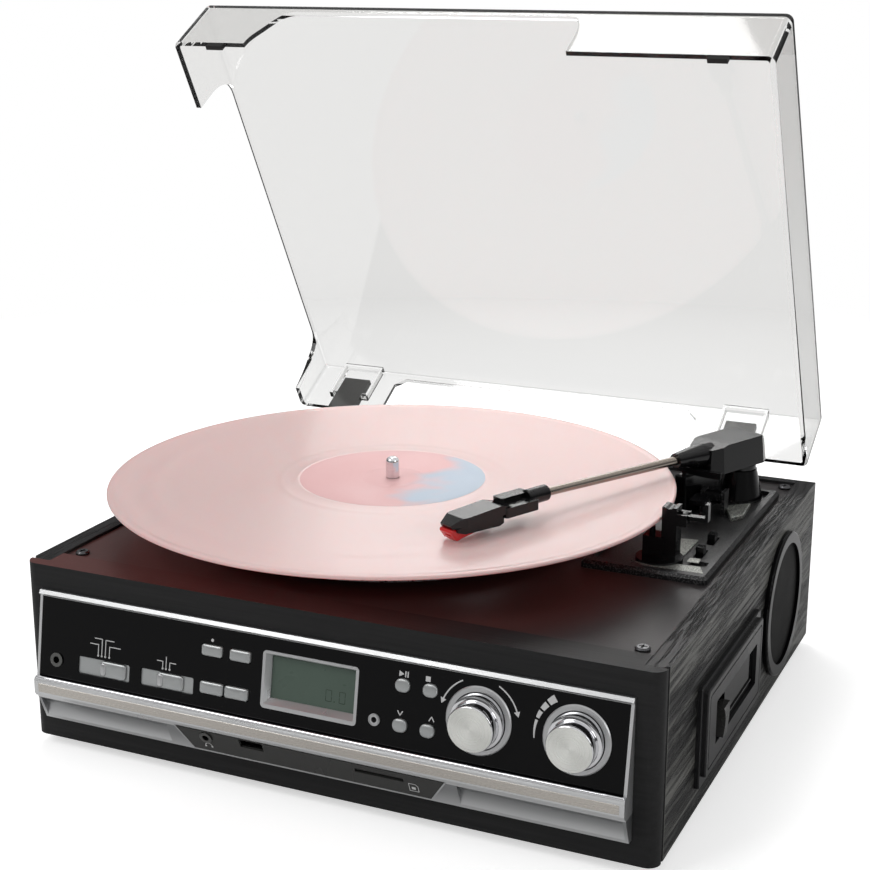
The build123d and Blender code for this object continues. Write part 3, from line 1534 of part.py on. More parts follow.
# Cueing: sliding curved bar and its lever
with BuildPart() as lift_bar:
    with BuildSketch(arm_level(bar_low)):
        with BuildLine():
            CenterArc((0, 0), bar_r + bar_half, -19, 44)
            CenterArc((0, 0), bar_r - bar_half, -19, 44)
            low = math.radians(-19)
            high = math.radians(25)
            Line(
                ((bar_r - bar_half) * math.cos(low), (bar_r - bar_half) * math.sin(low)),
                ((bar_r + bar_half) * math.cos(low), (bar_r + bar_half) * math.sin(low)),
            )
            Line(
                ((bar_r - bar_half) * math.cos(high), (bar_r - bar_half) * math.sin(high)),
                ((bar_r + bar_half) * math.cos(high), (bar_r + bar_half) * math.sin(high)),
            )
        make_face()
    extrude(amount=bar_top - bar_low)
    with BuildSketch(arm_level(bar_low)):
        with Locations((bar_r, -4.0)):
            Circle(bar_stem_r)
    extrude(amount=-(bar_low - block_h - 3))
lift_bar.part.label = "lift_bar"
export_step(lift_bar.part, "parts/lift_bar.step")

with BuildPart() as cue_lever:
    with BuildSketch(across(lever_x - 4.4)):
        with Locations((lever_y, case_h + lever_h)):
            Circle(3.6)
        with BuildLine():
            Polyline(
                (lever_y, case_h + lever_h - 2.4),
                (lever_y - 13.0, case_h + 11.6),
                (lever_y - 13.0, case_h + 14.0),
                (lever_y, case_h + lever_h + 3.0),
                close=True,
            )
        make_face()
    extrude(amount=8.8)
    with BuildSketch(level(case_h + 11.6)):
        with Locations((lever_x - 2.4, lever_y - 18.5)):
            RectangleRounded(9.6, 14.0, 2.0)
    extrude(amount=2.4)
    with BuildSketch(across(lever_x - 8)):
        with Locations((lever_y, case_h + lever_h)):
            Circle(lever_pin_r + 0.05)
    extrude(amount=16, mode=Mode.SUBTRACT)
cue_lever.part.label = "cue_lever"
export_step(cue_lever.part, "parts/cue_lever.step")

# Clip, drawn turned out; it folds over the tube
clip_w = 4.2
with BuildPart() as arm_clip:
    with BuildSketch(facing(rest_y - clip_w / 2)):
        with Locations((clip_x, case_h + clip_pin_h)):
            Circle(2.2)
        with BuildLine():
            Polyline(
                (clip_x, case_h + clip_pin_h + 1.0),
                (clip_x + 11.0, case_h + clip_pin_h + 1.0),
                (clip_x + 11.0, case_h + clip_pin_h + 8.2),
                (clip_x + 12.6, case_h + clip_pin_h + 8.2),
                (clip_x + 12.6, case_h + clip_pin_h - 1.0),
                (clip_x, case_h + clip_pin_h - 1.0),
                close=True,
            )
        make_face()
        with Locations((clip_x, case_h + clip_pin_h)):
            Circle(1.05, mode=Mode.SUBTRACT)
    extrude(amount=-clip_w)
arm_clip.part.label = "arm_clip"
export_step(arm_clip.part, "parts/arm_clip.step")

# Speed and stop switches: slides in slots of the arm plate
for name, y in (("speed_switch", switch_ys[0]), ("stop_switch", switch_ys[1])):
    with BuildPart() as switch:
        with BuildSketch(level(deck_top + body_gap)):
            with Locations((switch_x, y)):
                Rectangle(4.0, 5.0)
        extrude(amount=7.0)
        with BuildSketch(level(deck_top + body_gap + 7.0)):
            for step in (-1, 0, 1):
                with Locations((switch_x, y + step * 1.6)):
                    Rectangle(4.0, 0.7)
        extrude(amount=-0.7, mode=Mode.SUBTRACT)
    switch.part.label = name
    export_step(switch.part, f"parts/{name}.step")

# Hinge boxes in the rear board, with the pins
hinge_pin_r = 2.0
cheek_t = 3.4
with BuildPart() as hinge_boxes:
    for x in hinge_xs:
        with BuildSketch(across(x - hinge_box_w / 2)):
            with BuildLine():
                Polyline(
                    (hinge_y - 5.0, hinge_box_low + 4),
                    (hinge_y - 5.0, deck_top),
                    (half_d, deck_top),
                    (half_d, hinge_box_low),
                    (half_d - rear_t, hinge_box_low),
                    close=True,
                )
            make_face()
        extrude(amount=hinge_box_w)
        with BuildSketch(across(x - hinge_box_w / 2 + cheek_t)):
            with Locations((hinge_y - 2, hinge_z)):
                Rectangle(14.6, 30)
        extrude(amount=hinge_box_w - 2 * cheek_t, mode=Mode.SUBTRACT)
        with BuildSketch(across(x - hinge_box_w / 2 + 1)):
            with Locations((hinge_y, hinge_z)):
                Circle(hinge_pin_r)
        extrude(amount=hinge_box_w - 2)
hinge_boxes.part.label = "hinge_boxes"
export_step(hinge_boxes.part, "parts/hinge_boxes.step")

# Hinge leaves: eye on the pin, arm through the deck, blade in the lid's pocket
leaf_w = 18.0
leaf_shape = (
    (lid_rear_y - lid_t, hinge_z + 32.5),
    (lid_rear_y - lid_t - 3.4, hinge_z + 32.5),
    (lid_rear_y - lid_t - 3.8, hinge_z - 2.0),
    (lid_rear_y - lid_t - 1.4, hinge_z - 4.6),
    (hinge_y, hinge_z - 4.1),
    (hinge_y, hinge_z - 0.2),
    (lid_rear_y - lid_t + 1.0, hinge_z - 0.2),
    (lid_rear_y - lid_t, hinge_z + 1.4),
)
with BuildPart() as hinge_leaves:
    for x in hinge_xs:
        with BuildSketch(across(x - leaf_w / 2)):
            with BuildLine():
                Polyline(*[opened(y, z) for y, z in leaf_shape], close=True)
            make_face()
            with Locations((hinge_y, hinge_z)):
                Circle(4.1)
            with Locations((hinge_y, hinge_z)):
                Circle(hinge_pin_r + 0.05, mode=Mode.SUBTRACT)
        extrude(amount=leaf_w)
hinge_leaves.part.label = "hinge_leaves"
export_step(hinge_leaves.part, "parts/hinge_leaves.step")

# Lid: clear hood with a notched front wall, an open left wall and pockets for the hinges
lid_corner_r = 4.0
lid_edge_r = 2.2
pocket_w = 27.0
pocket_wall = 1.5
pocket_out = 4.2
# Cut-outs in the front and rear walls, seen from the front with x to the left
notch_left = lid_w / 2 - 44.0
notch_right = -lid_w / 2 + 104.0
rear_cut = (lid_x - hinge_xs[0] - 25.0, lid_x - hinge_xs[1] + 28.5)
# Opening in the left wall, measured from the front
side_cut_front = 42.6
side_cut_back = 257.0
with BuildPart() as lid:
    with BuildSketch(lid_plane):
        with Locations((0, lid_l / 2)):
            Rectangle(lid_w, lid_l)
    extrude(amount=lid_wall)
    fillet(lid.edges().filter_by(lambda e: abs(e.tangent_at(0).dot(lid_in)) > 0.99), lid_corner_r)
    fillet(lid.faces().sort_by(Axis(lid_origin, lid_in))[0].edges(), lid_edge_r)
    with BuildSketch(lid_plane.offset(lid_t)):
        with Locations((0, lid_l / 2)):
            RectangleRounded(lid_w - 2 * lid_side_t, lid_l - 2 * lid_t, lid_corner_r - lid_t)
    extrude(amount=lid_wall, mode=Mode.SUBTRACT)
    with BuildSketch(lid_front(-1)):
        with BuildLine():
            Line((notch_left, lid_wall + 1), (notch_left, lid_wall - 1))
            Spline(
                (notch_left, lid_wall - 1),
                (notch_left - 4.0, 24.0),
                (notch_left - 10.0, 11.0),
                (notch_left - 18.0, 7.0),
                tangents=((0, -1), (-1, 0)),
            )
            Line((notch_left - 18.0, 7.0), (notch_right + 7.0, 7.0))
            Spline(
                (notch_right + 7.0, 7.0),
                (notch_right + 2.0, 12.0),
                (notch_right, lid_wall + 1),
                tangents=((-1, 0), (0, 1)),
            )
            Line((notch_right, lid_wall + 1), (notch_left, lid_wall + 1))
        make_face()
    extrude(amount=-(lid_t + 2), mode=Mode.SUBTRACT)
    with BuildSketch(lid_across(lid_x - lid_w / 2 - 1)):
        with BuildLine():
            Line((lid_l - side_cut_front, lid_wall + 1), (lid_l - side_cut_front, lid_wall - 2))
            Spline(
                (lid_l - side_cut_front, lid_wall - 2),
                (lid_l - side_cut_front - 1.4, 14.6),
                (lid_l - side_cut_front - 7.4, 5.0),
                (lid_l - side_cut_front - 13.4, lid_t),
                tangents=((0, -1), (-1, -0.2)),
            )
            Line((lid_l - side_cut_front - 13.4, lid_t), (lid_l - side_cut_back + 17.0, lid_t))
            Spline(
                (lid_l - side_cut_back + 17.0, lid_t),
                (lid_l - side_cut_back + 7.0, 12.0),
                (lid_l - side_cut_back, lid_wall + 1),
                tangents=((-1, 0.1), (-0.1, 1)),
            )
            Line((lid_l - side_cut_back, lid_wall + 1), (lid_l - side_cut_front, lid_wall + 1))
        make_face()
    extrude(amount=lid_side_t + 1, mode=Mode.SUBTRACT)
    with BuildSketch(lid_front(lid_l - lid_t - 1)):
        with BuildLine():
            Polyline(
                (rear_cut[0], lid_wall + 1),
                (rear_cut[0], 13.0),
                (rear_cut[0] - 6.0, 7.0),
                (rear_cut[1] + 6.0, 7.0),
                (rear_cut[1], 13.0),
                (rear_cut[1], lid_wall + 1),
                close=True,
            )
        make_face()
    extrude(amount=-(lid_t + 2), mode=Mode.SUBTRACT)
    with BuildSketch(lid_front(lid_l - lid_t)):
        for x in hinge_xs:
            with Locations((lid_x - x, lid_t + 14.0)):
                Rectangle(pocket_w, 28)
                Rectangle(pocket_w - 2 * pocket_wall, 24, mode=Mode.SUBTRACT)
    extrude(amount=pocket_out)
    with BuildSketch(lid_front(lid_l - lid_t)):
        for x in hinge_xs:
            with Locations((lid_x - x, lid_t + 14.0 + 6)):
                Rectangle(leaf_w + 0.4, 24)
    extrude(amount=pocket_out + 1, mode=Mode.SUBTRACT)
lid.part.label = "lid"
export_step(lid.part, "parts/lid.step")

# Rubber bumpers under the lid's front rim
with BuildPart() as lid_bumpers:
    for x in (-lid_w / 2 + 27.0, lid_w / 2 - 27.0):
        with BuildSketch(lid_plane.offset(lid_wall)):
            with Locations((x, lid_l - lid_t / 2)):
                Rectangle(10.0, lid_t)
        extrude(amount=lid_rim_z - case_h - 0.1)
lid_bumpers.part.label = "lid_bumpers"
export_step(lid_bumpers.part, "parts/lid_bumpers.step")
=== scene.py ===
import math

import bpy
import numpy as np
from mathutils import Matrix, Vector


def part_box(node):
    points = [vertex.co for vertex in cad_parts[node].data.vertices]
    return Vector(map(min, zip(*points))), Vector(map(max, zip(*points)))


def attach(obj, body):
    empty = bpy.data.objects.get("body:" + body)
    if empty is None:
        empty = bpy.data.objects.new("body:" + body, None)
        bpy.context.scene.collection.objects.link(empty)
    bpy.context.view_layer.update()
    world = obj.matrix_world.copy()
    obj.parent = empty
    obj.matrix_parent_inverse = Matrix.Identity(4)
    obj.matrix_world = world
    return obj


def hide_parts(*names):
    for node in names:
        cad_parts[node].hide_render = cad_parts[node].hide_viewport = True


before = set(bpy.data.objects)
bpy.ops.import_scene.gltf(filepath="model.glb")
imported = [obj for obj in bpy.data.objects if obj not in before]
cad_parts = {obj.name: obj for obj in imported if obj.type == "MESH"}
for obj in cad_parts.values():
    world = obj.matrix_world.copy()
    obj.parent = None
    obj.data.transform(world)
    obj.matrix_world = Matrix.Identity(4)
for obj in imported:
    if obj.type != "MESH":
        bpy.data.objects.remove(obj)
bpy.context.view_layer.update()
print("frame loaded:", len(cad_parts), "nodes")

# The case's own axes: middle of the case in plan, height from its bottom edge, millimetres
frontLow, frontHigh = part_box("front_board")
sideLow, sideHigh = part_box("side_boards")
caseMid = Vector(((frontLow.x + frontHigh.x) / 2, (frontLow.y + sideHigh.y) / 2, frontLow.z))
halfDeep = (sideHigh.y - frontLow.y) * 500
caseTop = (frontHigh.z - frontLow.z) * 1000


def place(x, y, z):  # from the case's axes and millimetres to the frame's metres
    return Vector((caseMid.x + x / 1000, caseMid.y + y / 1000, caseMid.z + z / 1000))


def asCase(point):  # from the frame's metres to the case's millimetres
    return (Vector(point) - caseMid) * 1000


def middleOf(node):  # the middle of a node's box, in the case's millimetres
    return asCase(sum(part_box(node), Vector()) / 2)


def makePiece(name, points, faces, body, sharpAngle=40):  # points in the case's millimetres
    mesh = bpy.data.meshes.new(name)
    placed = np.asarray(points, float) / 1000 + np.array(caseMid)
    mesh.from_pydata(placed.tolist(), [], faces)
    mesh.validate()
    mesh.shade_smooth()
    mesh.set_sharp_from_angle(angle=math.radians(sharpAngle))
    piece = bpy.data.objects.new(name, mesh)
    bpy.context.scene.collection.objects.link(piece)
    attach(piece, body)
    return piece


def gridFaces(rows, columns, loopRows=False, loopColumns=False):
    # quads between neighbours of a rows by columns grid of points, closed round where asked
    i = np.arange(rows if loopRows else rows - 1)
    j = np.arange(columns if loopColumns else columns - 1)
    a, b = np.meshgrid(i, j, indexing="ij")
    nextA, nextB = (a + 1) % rows, (b + 1) % columns
    corners = (a * columns + b, nextA * columns + b, nextA * columns + nextB, a * columns + nextB)
    return np.stack(corners, -1).reshape(-1, 4).tolist()


def turnedPiece(name, profile, centre, axis, body, steps=128, sharpAngle=40):
    # a lathe: each (radius, height) of the profile goes round the axis
    profile = np.array(profile, float)
    up = np.array(Vector(axis).normalized())
    side = np.cross(up, [0.0, 0.0, 1.0])
    side = np.array([1.0, 0.0, 0.0]) if np.linalg.norm(side) < 1e-6 else side / np.linalg.norm(side)
    other = np.cross(up, side)
    angle = np.linspace(0, 2 * math.pi, steps, endpoint=False)
    ring = np.cos(angle)[:, None, None] * side + np.sin(angle)[:, None, None] * other
    points = np.array(centre) + profile[None, :, 0, None] * ring + profile[None, :, 1, None] * up
    count = len(profile)
    faces = gridFaces(steps, count, loopRows=True)
    for end, flip in ((0, True), (count - 1, False)):
        if profile[end, 0] > 1e-6:
            rim = [step * count + end for step in range(steps)]
            faces.append(rim[::-1] if flip else rim)
    return makePiece(name, points.reshape(-1, 3), faces, body, sharpAngle)


def prismFaces(count, start=0):  # the ends and sides between two rings of points
    low = list(range(start, start + count))
    after = low[1:] + low[:1]
    sides = [[a, b, b + count, a + count] for a, b in zip(low, after)]
    return [low[::-1], [i + count for i in low]] + sides


def blockPiece(name, corners, depth, origin, xDir, yDir, body, edge):
    # a flat outline pushed along its normal, with its edges softened by a bevel
    xDir, yDir = Vector(xDir).normalized(), Vector(yDir).normalized()
    normal = xDir.cross(yDir)
    base = [Vector(origin) + xDir * x + yDir * y for x, y in corners]
    points = [tuple(p) for p in base] + [tuple(p + normal * depth) for p in base]
    piece = makePiece(name, points, prismFaces(len(base)), body, 30)
    bevel = piece.modifiers.new("softEdge", "BEVEL")
    bevel.width = edge / 1000
    bevel.segments = 3
    bevel.limit_method = "ANGLE"
    bevel.angle_limit = math.radians(25)
    bevel.harden_normals = True
    return piece


def feed(tree, node, values):  # each value is a constant or another node's output
    for key, value in values.items():
        if isinstance(value, bpy.types.NodeSocket):
            tree.links.new(value, node.inputs[key])
        else:
            node.inputs[key].default_value = value


def addNode(tree, kind, values=None, **settings):
    node = tree.nodes.new(kind)
    for key, value in settings.items():
        setattr(node, key, value)
    feed(tree, node, values or {})
    return node


def spotOf(tree):  # Object coordinates
    return addNode(tree, "ShaderNodeTexCoord").outputs["Object"]


def partsOf(tree, vector):
    return addNode(tree, "ShaderNodeSeparateXYZ", {0: vector}).outputs


def normalOf(tree):  # the three parts of the surface's direction
    return partsOf(tree, addNode(tree, "ShaderNodeNewGeometry").outputs["Normal"])


def reckon(tree, operation, *numbers):
    return addNode(tree, "ShaderNodeMath", dict(enumerate(numbers)), operation=operation).outputs[0]


def shift(tree, operation, *vectors):
    return addNode(tree, "ShaderNodeVectorMath", dict(enumerate(vectors)), operation=operation).outputs[0]


def lengthOf(tree, vector):
    return addNode(tree, "ShaderNodeVectorMath", {0: vector}, operation="LENGTH").outputs["Value"]


def noiseOf(tree, vector, scale, detail=2.0, rough=0.5, twist=0.0):
    values = {"Vector": vector, "Scale": scale, "Detail": detail, "Roughness": rough, "Distortion": twist}
    return addNode(tree, "ShaderNodeTexNoise", values).outputs[0]


def ramp(tree, source, fromLow, fromHigh, toLow=0.0, toHigh=1.0, kind="LINEAR"):
    values = {"Value": source, "From Min": fromLow, "From Max": fromHigh, "To Min": toLow, "To Max": toHigh}
    return addNode(tree, "ShaderNodeMapRange", values, interpolation_type=kind).outputs[0]


def spread(tree, source, low, high):  # a 0 to 1 mask to a range of values
    return ramp(tree, source, 0.3, 0.7, low, high)


def twoTone(tree, mask, low, high):  # a mask to a mix of two colours, each written out or an output
    low, high = [(*tone, 1) if isinstance(tone, tuple) else tone for tone in (low, high)]
    mix = addNode(tree, "ShaderNodeMix", {"Factor": mask, "A": low, "B": high}, data_type="RGBA")
    return mix.outputs["Result"]


def bump(tree, source, strength, distance):
    values = {"Strength": strength, "Distance": distance, "Height": source}
    return addNode(tree, "ShaderNodeBump", values).outputs[0]


# Shader groups: each puts out masks and heights only
def newGroup(name, inputs, outputs):
    group = bpy.data.node_groups.new(name, "ShaderNodeTree")
    for label, value in inputs.items():
        kind = "NodeSocketVector" if isinstance(value, tuple) else "NodeSocketFloat"
        group.interface.new_socket(label, in_out="INPUT", socket_type=kind).default_value = value
    for label in outputs:
        group.interface.new_socket(label, in_out="OUTPUT", socket_type="NodeSocketFloat")
    return group, addNode(group, "NodeGroupInput").outputs, addNode(group, "NodeGroupOutput")


def mouldedSkin():
    # fine grain of moulded plastic or paint: small speckle for bump, broad cloud for smudges
    inputs = {"Grain Scale": 900.0, "Cloud Scale": 14.0}
    group, given, out = newGroup("mouldedSkin", inputs, ("Speckle", "Smudge"))
    spot = spotOf(group)
    feed(group, out, {"Speckle": noiseOf(group, spot, given["Grain Scale"], 3.0, 0.6),
                      "Smudge": noiseOf(group, spot, given["Cloud Scale"], 4.0, 0.55, 0.4)})
    return group


def runningGrain():
    # wood-like lines that run along Y: noise stretched lengthways, with open pores cut in
    inputs = {"Line Scale": 300.0, "Stretch": 0.06, "Pore Depth": 0.5}
    group, given, out = newGroup("runningGrain", inputs, ("Lines", "Pores"))
    squeeze = addNode(group, "ShaderNodeCombineXYZ", {"X": 1.0, "Y": given["Stretch"], "Z": 1.0})
    stretched = shift(group, "MULTIPLY", spotOf(group), squeeze.outputs[0])
    lines = noiseOf(group, stretched, given["Line Scale"], 5.0, 0.65, 0.6)
    broad = noiseOf(group, stretched, 60.0, twist=1.2)
    pores = ramp(group, lines, 0.40, 0.52)
    feed(group, out, {"Lines": reckon(group, "MULTIPLY", lines, broad),
                      "Pores": reckon(group, "MULTIPLY", pores, given["Pore Depth"])})
    return group


def brushedLines():
    # straight brushing along X: noise squeezed hard across the stroke
    group, given, out = newGroup("brushedLines", {"Stroke Scale": 1800.0, "Along": 0.012}, ("Strokes",))
    squeeze = addNode(group, "ShaderNodeCombineXYZ", {"X": given["Along"], "Y": 1.0, "Z": 1.0})
    stretched = shift(group, "MULTIPLY", spotOf(group), squeeze.outputs[0])
    feed(group, out, {"Strokes": noiseOf(group, stretched, given["Stroke Scale"])})
    return group


def turnedLines():
    # rings left by turning: noise read by the distance from the middle of the place it is given
    group, given, out = newGroup("turnedLines", {"Ring Scale": 2500.0, "Place": (0, 0, 0)}, ("Rings",))
    values = {"W": lengthOf(group, given["Place"]), "Scale": given["Ring Scale"], "Detail": 2.0}
    rings = addNode(group, "ShaderNodeTexNoise", values, noise_dimensions="1D")
    feed(group, out, {"Rings": rings.outputs[0]})
    return group


skinGroup = mouldedSkin()
grainGroup = runningGrain()
brushGroup = brushedLines()
turnedGroup = turnedLines()


def placeGroup(tree, group, values):
    node = tree.nodes.new("ShaderNodeGroup")
    node.node_tree = group
    feed(tree, node, values)
    return node.outputs


def startMaterial(name):
    material = bpy.data.materials.new(name)
    material.use_nodes = True
    tree = material.node_tree
    return material, tree, tree.nodes["Principled BSDF"]


def mouldedFinish(name, tone, roughness, depth, shine=0.5, metallic=0.0, grain=900.0, vary=0.12, wide=0.08):
    material, tree, shader = startMaterial(name)
    skin = placeGroup(tree, skinGroup, {"Grain Scale": grain})
    low = tuple(c * (1 - vary) for c in tone)
    high = tuple(min(c * (1 + vary), 1) for c in tone)
    feed(tree, shader, {
        "Metallic": metallic, "Specular IOR Level": shine,
        "Base Color": twoTone(tree, skin["Smudge"], low, high),
        "Roughness": spread(tree, skin["Smudge"], max(roughness - wide, 0.03), roughness + wide),
        "Normal": bump(tree, skin["Speckle"], depth, 0.0003)})
    return material


def metalFinish(name, tone, roughness=0.25, depth=0.12):
    material, tree, shader = startMaterial(name)
    strokes = placeGroup(tree, brushGroup, {"Stroke Scale": 1800.0, "Along": 0.012})["Strokes"]
    feed(tree, shader, {
        "Metallic": 1.0, "Base Color": twoTone(tree, strokes, tuple(c * 0.9 for c in tone), tone),
        "Roughness": spread(tree, strokes, roughness * 0.75, roughness * 1.3),
        "Normal": bump(tree, strokes, depth, 0.0001)})
    return material


def flakeFinish(name, metallic, scale, fewest, most, dark, pale):
    # metal-flake moulding: bright specks in darker paint
    material, tree, shader = startMaterial(name)
    flakes = noiseOf(tree, spotOf(tree), scale)
    feed(tree, shader, {
        "Metallic": metallic, "Base Color": twoTone(tree, ramp(tree, flakes, fewest, most), dark, pale),
        "Roughness": spread(tree, flakes, 0.3, 0.5), "Normal": bump(tree, flakes, 0.4, 0.0002)})
    return material


def wear(piece, material):
    if piece.data.materials:
        for index in range(len(piece.material_slots)):
            piece.material_slots[index].link = "OBJECT"
            piece.material_slots[index].material = material
    else:
        piece.data.materials.append(material)


print("groups made")

# Camera: where the photograph was taken from
view = {"spot": (0.3541, -0.79447, 0.3960), "turn": 24.52, "tilt": 16.02, "roll": -0.04, "lens": 69.78}


def aimCamera():
    turn, tilt = math.radians(view["turn"]), math.radians(view["tilt"])
    back = Vector((math.sin(turn) * math.cos(tilt), -math.cos(turn) * math.cos(tilt), math.sin(tilt)))
    right = Vector((math.cos(turn), math.sin(turn), 0))
    axes = Matrix((right, back.cross(right), back)).transposed().to_4x4()
    data = bpy.data.cameras.new("photoCamera")
    data.lens, data.sensor_width = view["lens"], 36
    camera = bpy.data.objects.new("photoCamera", data)
    roll = Matrix.Rotation(math.radians(view["roll"]), 4, "Z")
    camera.matrix_world = Matrix.Translation(view["spot"]) @ axes @ roll
    bpy.context.scene.collection.objects.link(camera)
    bpy.context.scene.camera = camera


aimCamera()

# Studio: pale floor, soft lamps, a white room for the camera and glass, a room dark below for mirrors
studio = {
    "floorTone": 0.86, "floorLift": 0.58, "floorHalf": 6, "fadeFrom": 0.55, "fadeTo": 1.1,
    "roomLight": 0.36, "mirrorLow": 0.10, "mirrorHigh": 0.78, "mirrorFrom": 0.05, "mirrorTo": 0.75,
    "lamps": (  # name, place, aim, size, watts, whether mirrors show it
        ("keyLamp", (-1.3, -1.7, 1.9), (0, 0, 0.08), 1.3, 21.0, True),
        ("topLamp", (-0.55, 0.75, 1.9), (0, 0, 0.1), 0.55, 8.5, False),
        ("sideLamp", (1.9, -0.5, 0.9), (0.1, 0, 0.06), 0.9, 5.0, True),
        ("backLamp", (-0.6, 1.9, 1.3), (0, 0, 0.15), 1.0, 8.0, False),
    ),
}


def rayKinds(tree):  # masks of the mirrored rays, and of those from the camera or through glass
    path = addNode(tree, "ShaderNodeLightPath").outputs
    return path["Is Glossy Ray"], reckon(tree, "MAXIMUM", path["Is Camera Ray"], path["Is Transmission Ray"])


def choose(tree, factor, low, high):  # low where the factor is 0, high where it is 1
    values = {"Factor": factor, "A": low, "B": high}
    return addNode(tree, "ShaderNodeMix", values, data_type="FLOAT").outputs["Result"]


def makeRoom(scene):
    world = bpy.data.worlds.new("studioRoom")
    scene.world = world
    world.use_nodes = True
    tree = world.node_tree
    height = partsOf(tree, addNode(tree, "ShaderNodeTexCoord").outputs["Generated"])["Z"]
    mirrored = ramp(tree, height, studio["mirrorFrom"], studio["mirrorTo"], studio["mirrorLow"],
                    studio["mirrorHigh"], "SMOOTHSTEP")
    glossy, direct = rayKinds(tree)
    level = choose(tree, direct, choose(tree, glossy, studio["roomLight"], mirrored), 1.0)
    feed(tree, tree.nodes["Background"], {"Color": (1, 1, 1, 1), "Strength": level})


def makeFloor(scene):
    half = studio["floorHalf"]
    mesh = bpy.data.meshes.new("studioFloor")
    corners = [(-half, -half, 0), (half, -half, 0), (half, half, 0), (-half, half, 0)]
    mesh.from_pydata(corners, [], [(0, 1, 2, 3)])
    floor = bpy.data.objects.new("studioFloor", mesh)
    scene.collection.objects.link(floor)
    paper = bpy.data.materials.new("paleFloor")
    paper.use_nodes = True
    tree = paper.node_tree
    tree.nodes.clear()
    direct = rayKinds(tree)[1]
    tone, white = studio["floorTone"], (1, 1, 1, 1)
    matt = addNode(tree, "ShaderNodeBsdfDiffuse", {"Color": (tone, tone, tone, 1)})
    lift = choose(tree, direct, 0.0, studio["floorLift"])
    glow = addNode(tree, "ShaderNodeEmission", {"Color": white, "Strength": lift})
    both = addNode(tree, "ShaderNodeAddShader", {0: matt.outputs[0], 1: glow.outputs[0]})
    away = lengthOf(tree, spotOf(tree))  # the paper is plain white far off
    fade = ramp(tree, away, studio["fadeFrom"], studio["fadeTo"])
    plain = addNode(tree, "ShaderNodeEmission", {"Color": white, "Strength": 1.0})
    edge = addNode(tree, "ShaderNodeMixShader", {
        "Fac": reckon(tree, "MULTIPLY", fade, direct), 1: both.outputs[0], 2: plain.outputs[0]})
    addNode(tree, "ShaderNodeOutputMaterial", {"Surface": edge.outputs[0]})
    mesh.materials.append(paper)


def makeLamps(scene):
    for name, spot, aim, size, watts, mirrored in studio["lamps"]:
        data = bpy.data.lights.new(name, "AREA")
        data.size, data.energy = size, watts
        lamp = bpy.data.objects.new(name, data)
        lamp.location = spot
        lamp.rotation_euler = (Vector(aim) - Vector(spot)).to_track_quat("-Z", "Y").to_euler()
        lamp.visible_glossy = mirrored
        scene.collection.objects.link(lamp)


bpy.context.scene.view_settings.view_transform = "Standard"
makeRoom(bpy.context.scene)
makeFloor(bpy.context.scene)
makeLamps(bpy.context.scene)
print("camera and studio ready")

# The sloped control panel and the skirt under the strip, as planes to place print and trim on
slopes = {"lean": 0.18, "panelDrop": 16.0, "panelOut": 1.0,
          "skirtDrop": 51.4, "skirtOut": 9.2, "skirtRun": (6.0, -14.4)}
lean = math.atan(slopes["lean"])
panelTop = caseTop - slopes["panelDrop"]


def onPanel(x, w, e=0.0):  # across from the case's middle, down the slope, out of the surface
    down, out = Vector((0, -math.sin(lean), -math.cos(lean))), Vector((0, -math.cos(lean), math.sin(lean)))
    return Vector((x, -halfDeep - slopes["panelOut"], panelTop)) + down * w + out * e


def onSkirt(x, v, e=0.0):  # the same for the plane under the strip
    run, drop = slopes["skirtRun"]
    down, out = Vector((0, run, drop)).normalized(), Vector((0, drop, -run)).normalized()
    return Vector((x, -halfDeep - slopes["skirtOut"], panelTop - slopes["skirtDrop"])) + down * v + out * e


def signedArea(shape):  # twice the area, above 0 where the outline runs anticlockwise
    return sum(a[0] * b[1] - b[0] * a[1] for a, b in zip(shape, shape[1:] + shape[:1]))


def printPiece(name, shapes, surface, lift, body, thick=0.05):
    # each shape is an outline in the surface's own millimetres, laid down as a thin prism
    points, faces = [], []
    for shape in shapes:
        ring = shape if signedArea(shape) < 0 else shape[::-1]
        faces += prismFaces(len(ring), len(points))
        points += [tuple(surface(x, w, lift)) for x, w in ring]
        points += [tuple(surface(x, w, lift + thick)) for x, w in ring]
    return makePiece(name, points, faces, body, 20)


def stroke(x0, w0, x1, w1, width):  # a straight print line
    along = np.array([x1 - x0, w1 - w0])
    side = np.array([-along[1], along[0]]) / np.linalg.norm(along) * width / 2
    ends = np.array([[x0, w0], [x1, w1]])
    return [tuple(ends[0] + side), tuple(ends[1] + side), tuple(ends[1] - side), tuple(ends[0] - side)]


def arcBand(cx, cw, radius, low, high, widthLow, widthHigh, steps=14):  # a curved band that may taper
    angle = np.radians(np.linspace(low, high, steps))
    width = np.linspace(widthLow, widthHigh, steps) / 2
    outer = np.stack([cx + (radius + width) * np.cos(angle), cw - (radius + width) * np.sin(angle)], -1)
    inner = np.stack([cx + (radius - width) * np.cos(angle), cw - (radius - width) * np.sin(angle)], -1)
    return [tuple(p) for p in outer] + [tuple(p) for p in inner[::-1]]


def dot(cx, cw, radius, steps=16):  # points evenly round a circle
    angle = np.linspace(0, 2 * math.pi, steps, endpoint=False)
    return [(cx + radius * math.cos(a), cw + radius * math.sin(a)) for a in angle]


def roundedBox(cx, cw, wide, tall, radius, steps=6):  # four quarter circles, corner after corner
    shape = []
    for sx, sw, start in ((1, -1, 0), (-1, -1, 90), (-1, 1, 180), (1, 1, 270)):
        midX, midW = cx + sx * (wide / 2 - radius), cw + sw * (tall / 2 - radius)
        angle = np.radians(np.linspace(start, start + 90, steps))
        shape += [(midX + radius * math.cos(a), midW - radius * math.sin(a)) for a in angle]
    return shape


# Where the record lies
discMid = middleOf("vinyl_record")
discTop = asCase(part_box("vinyl_record")[1]).z

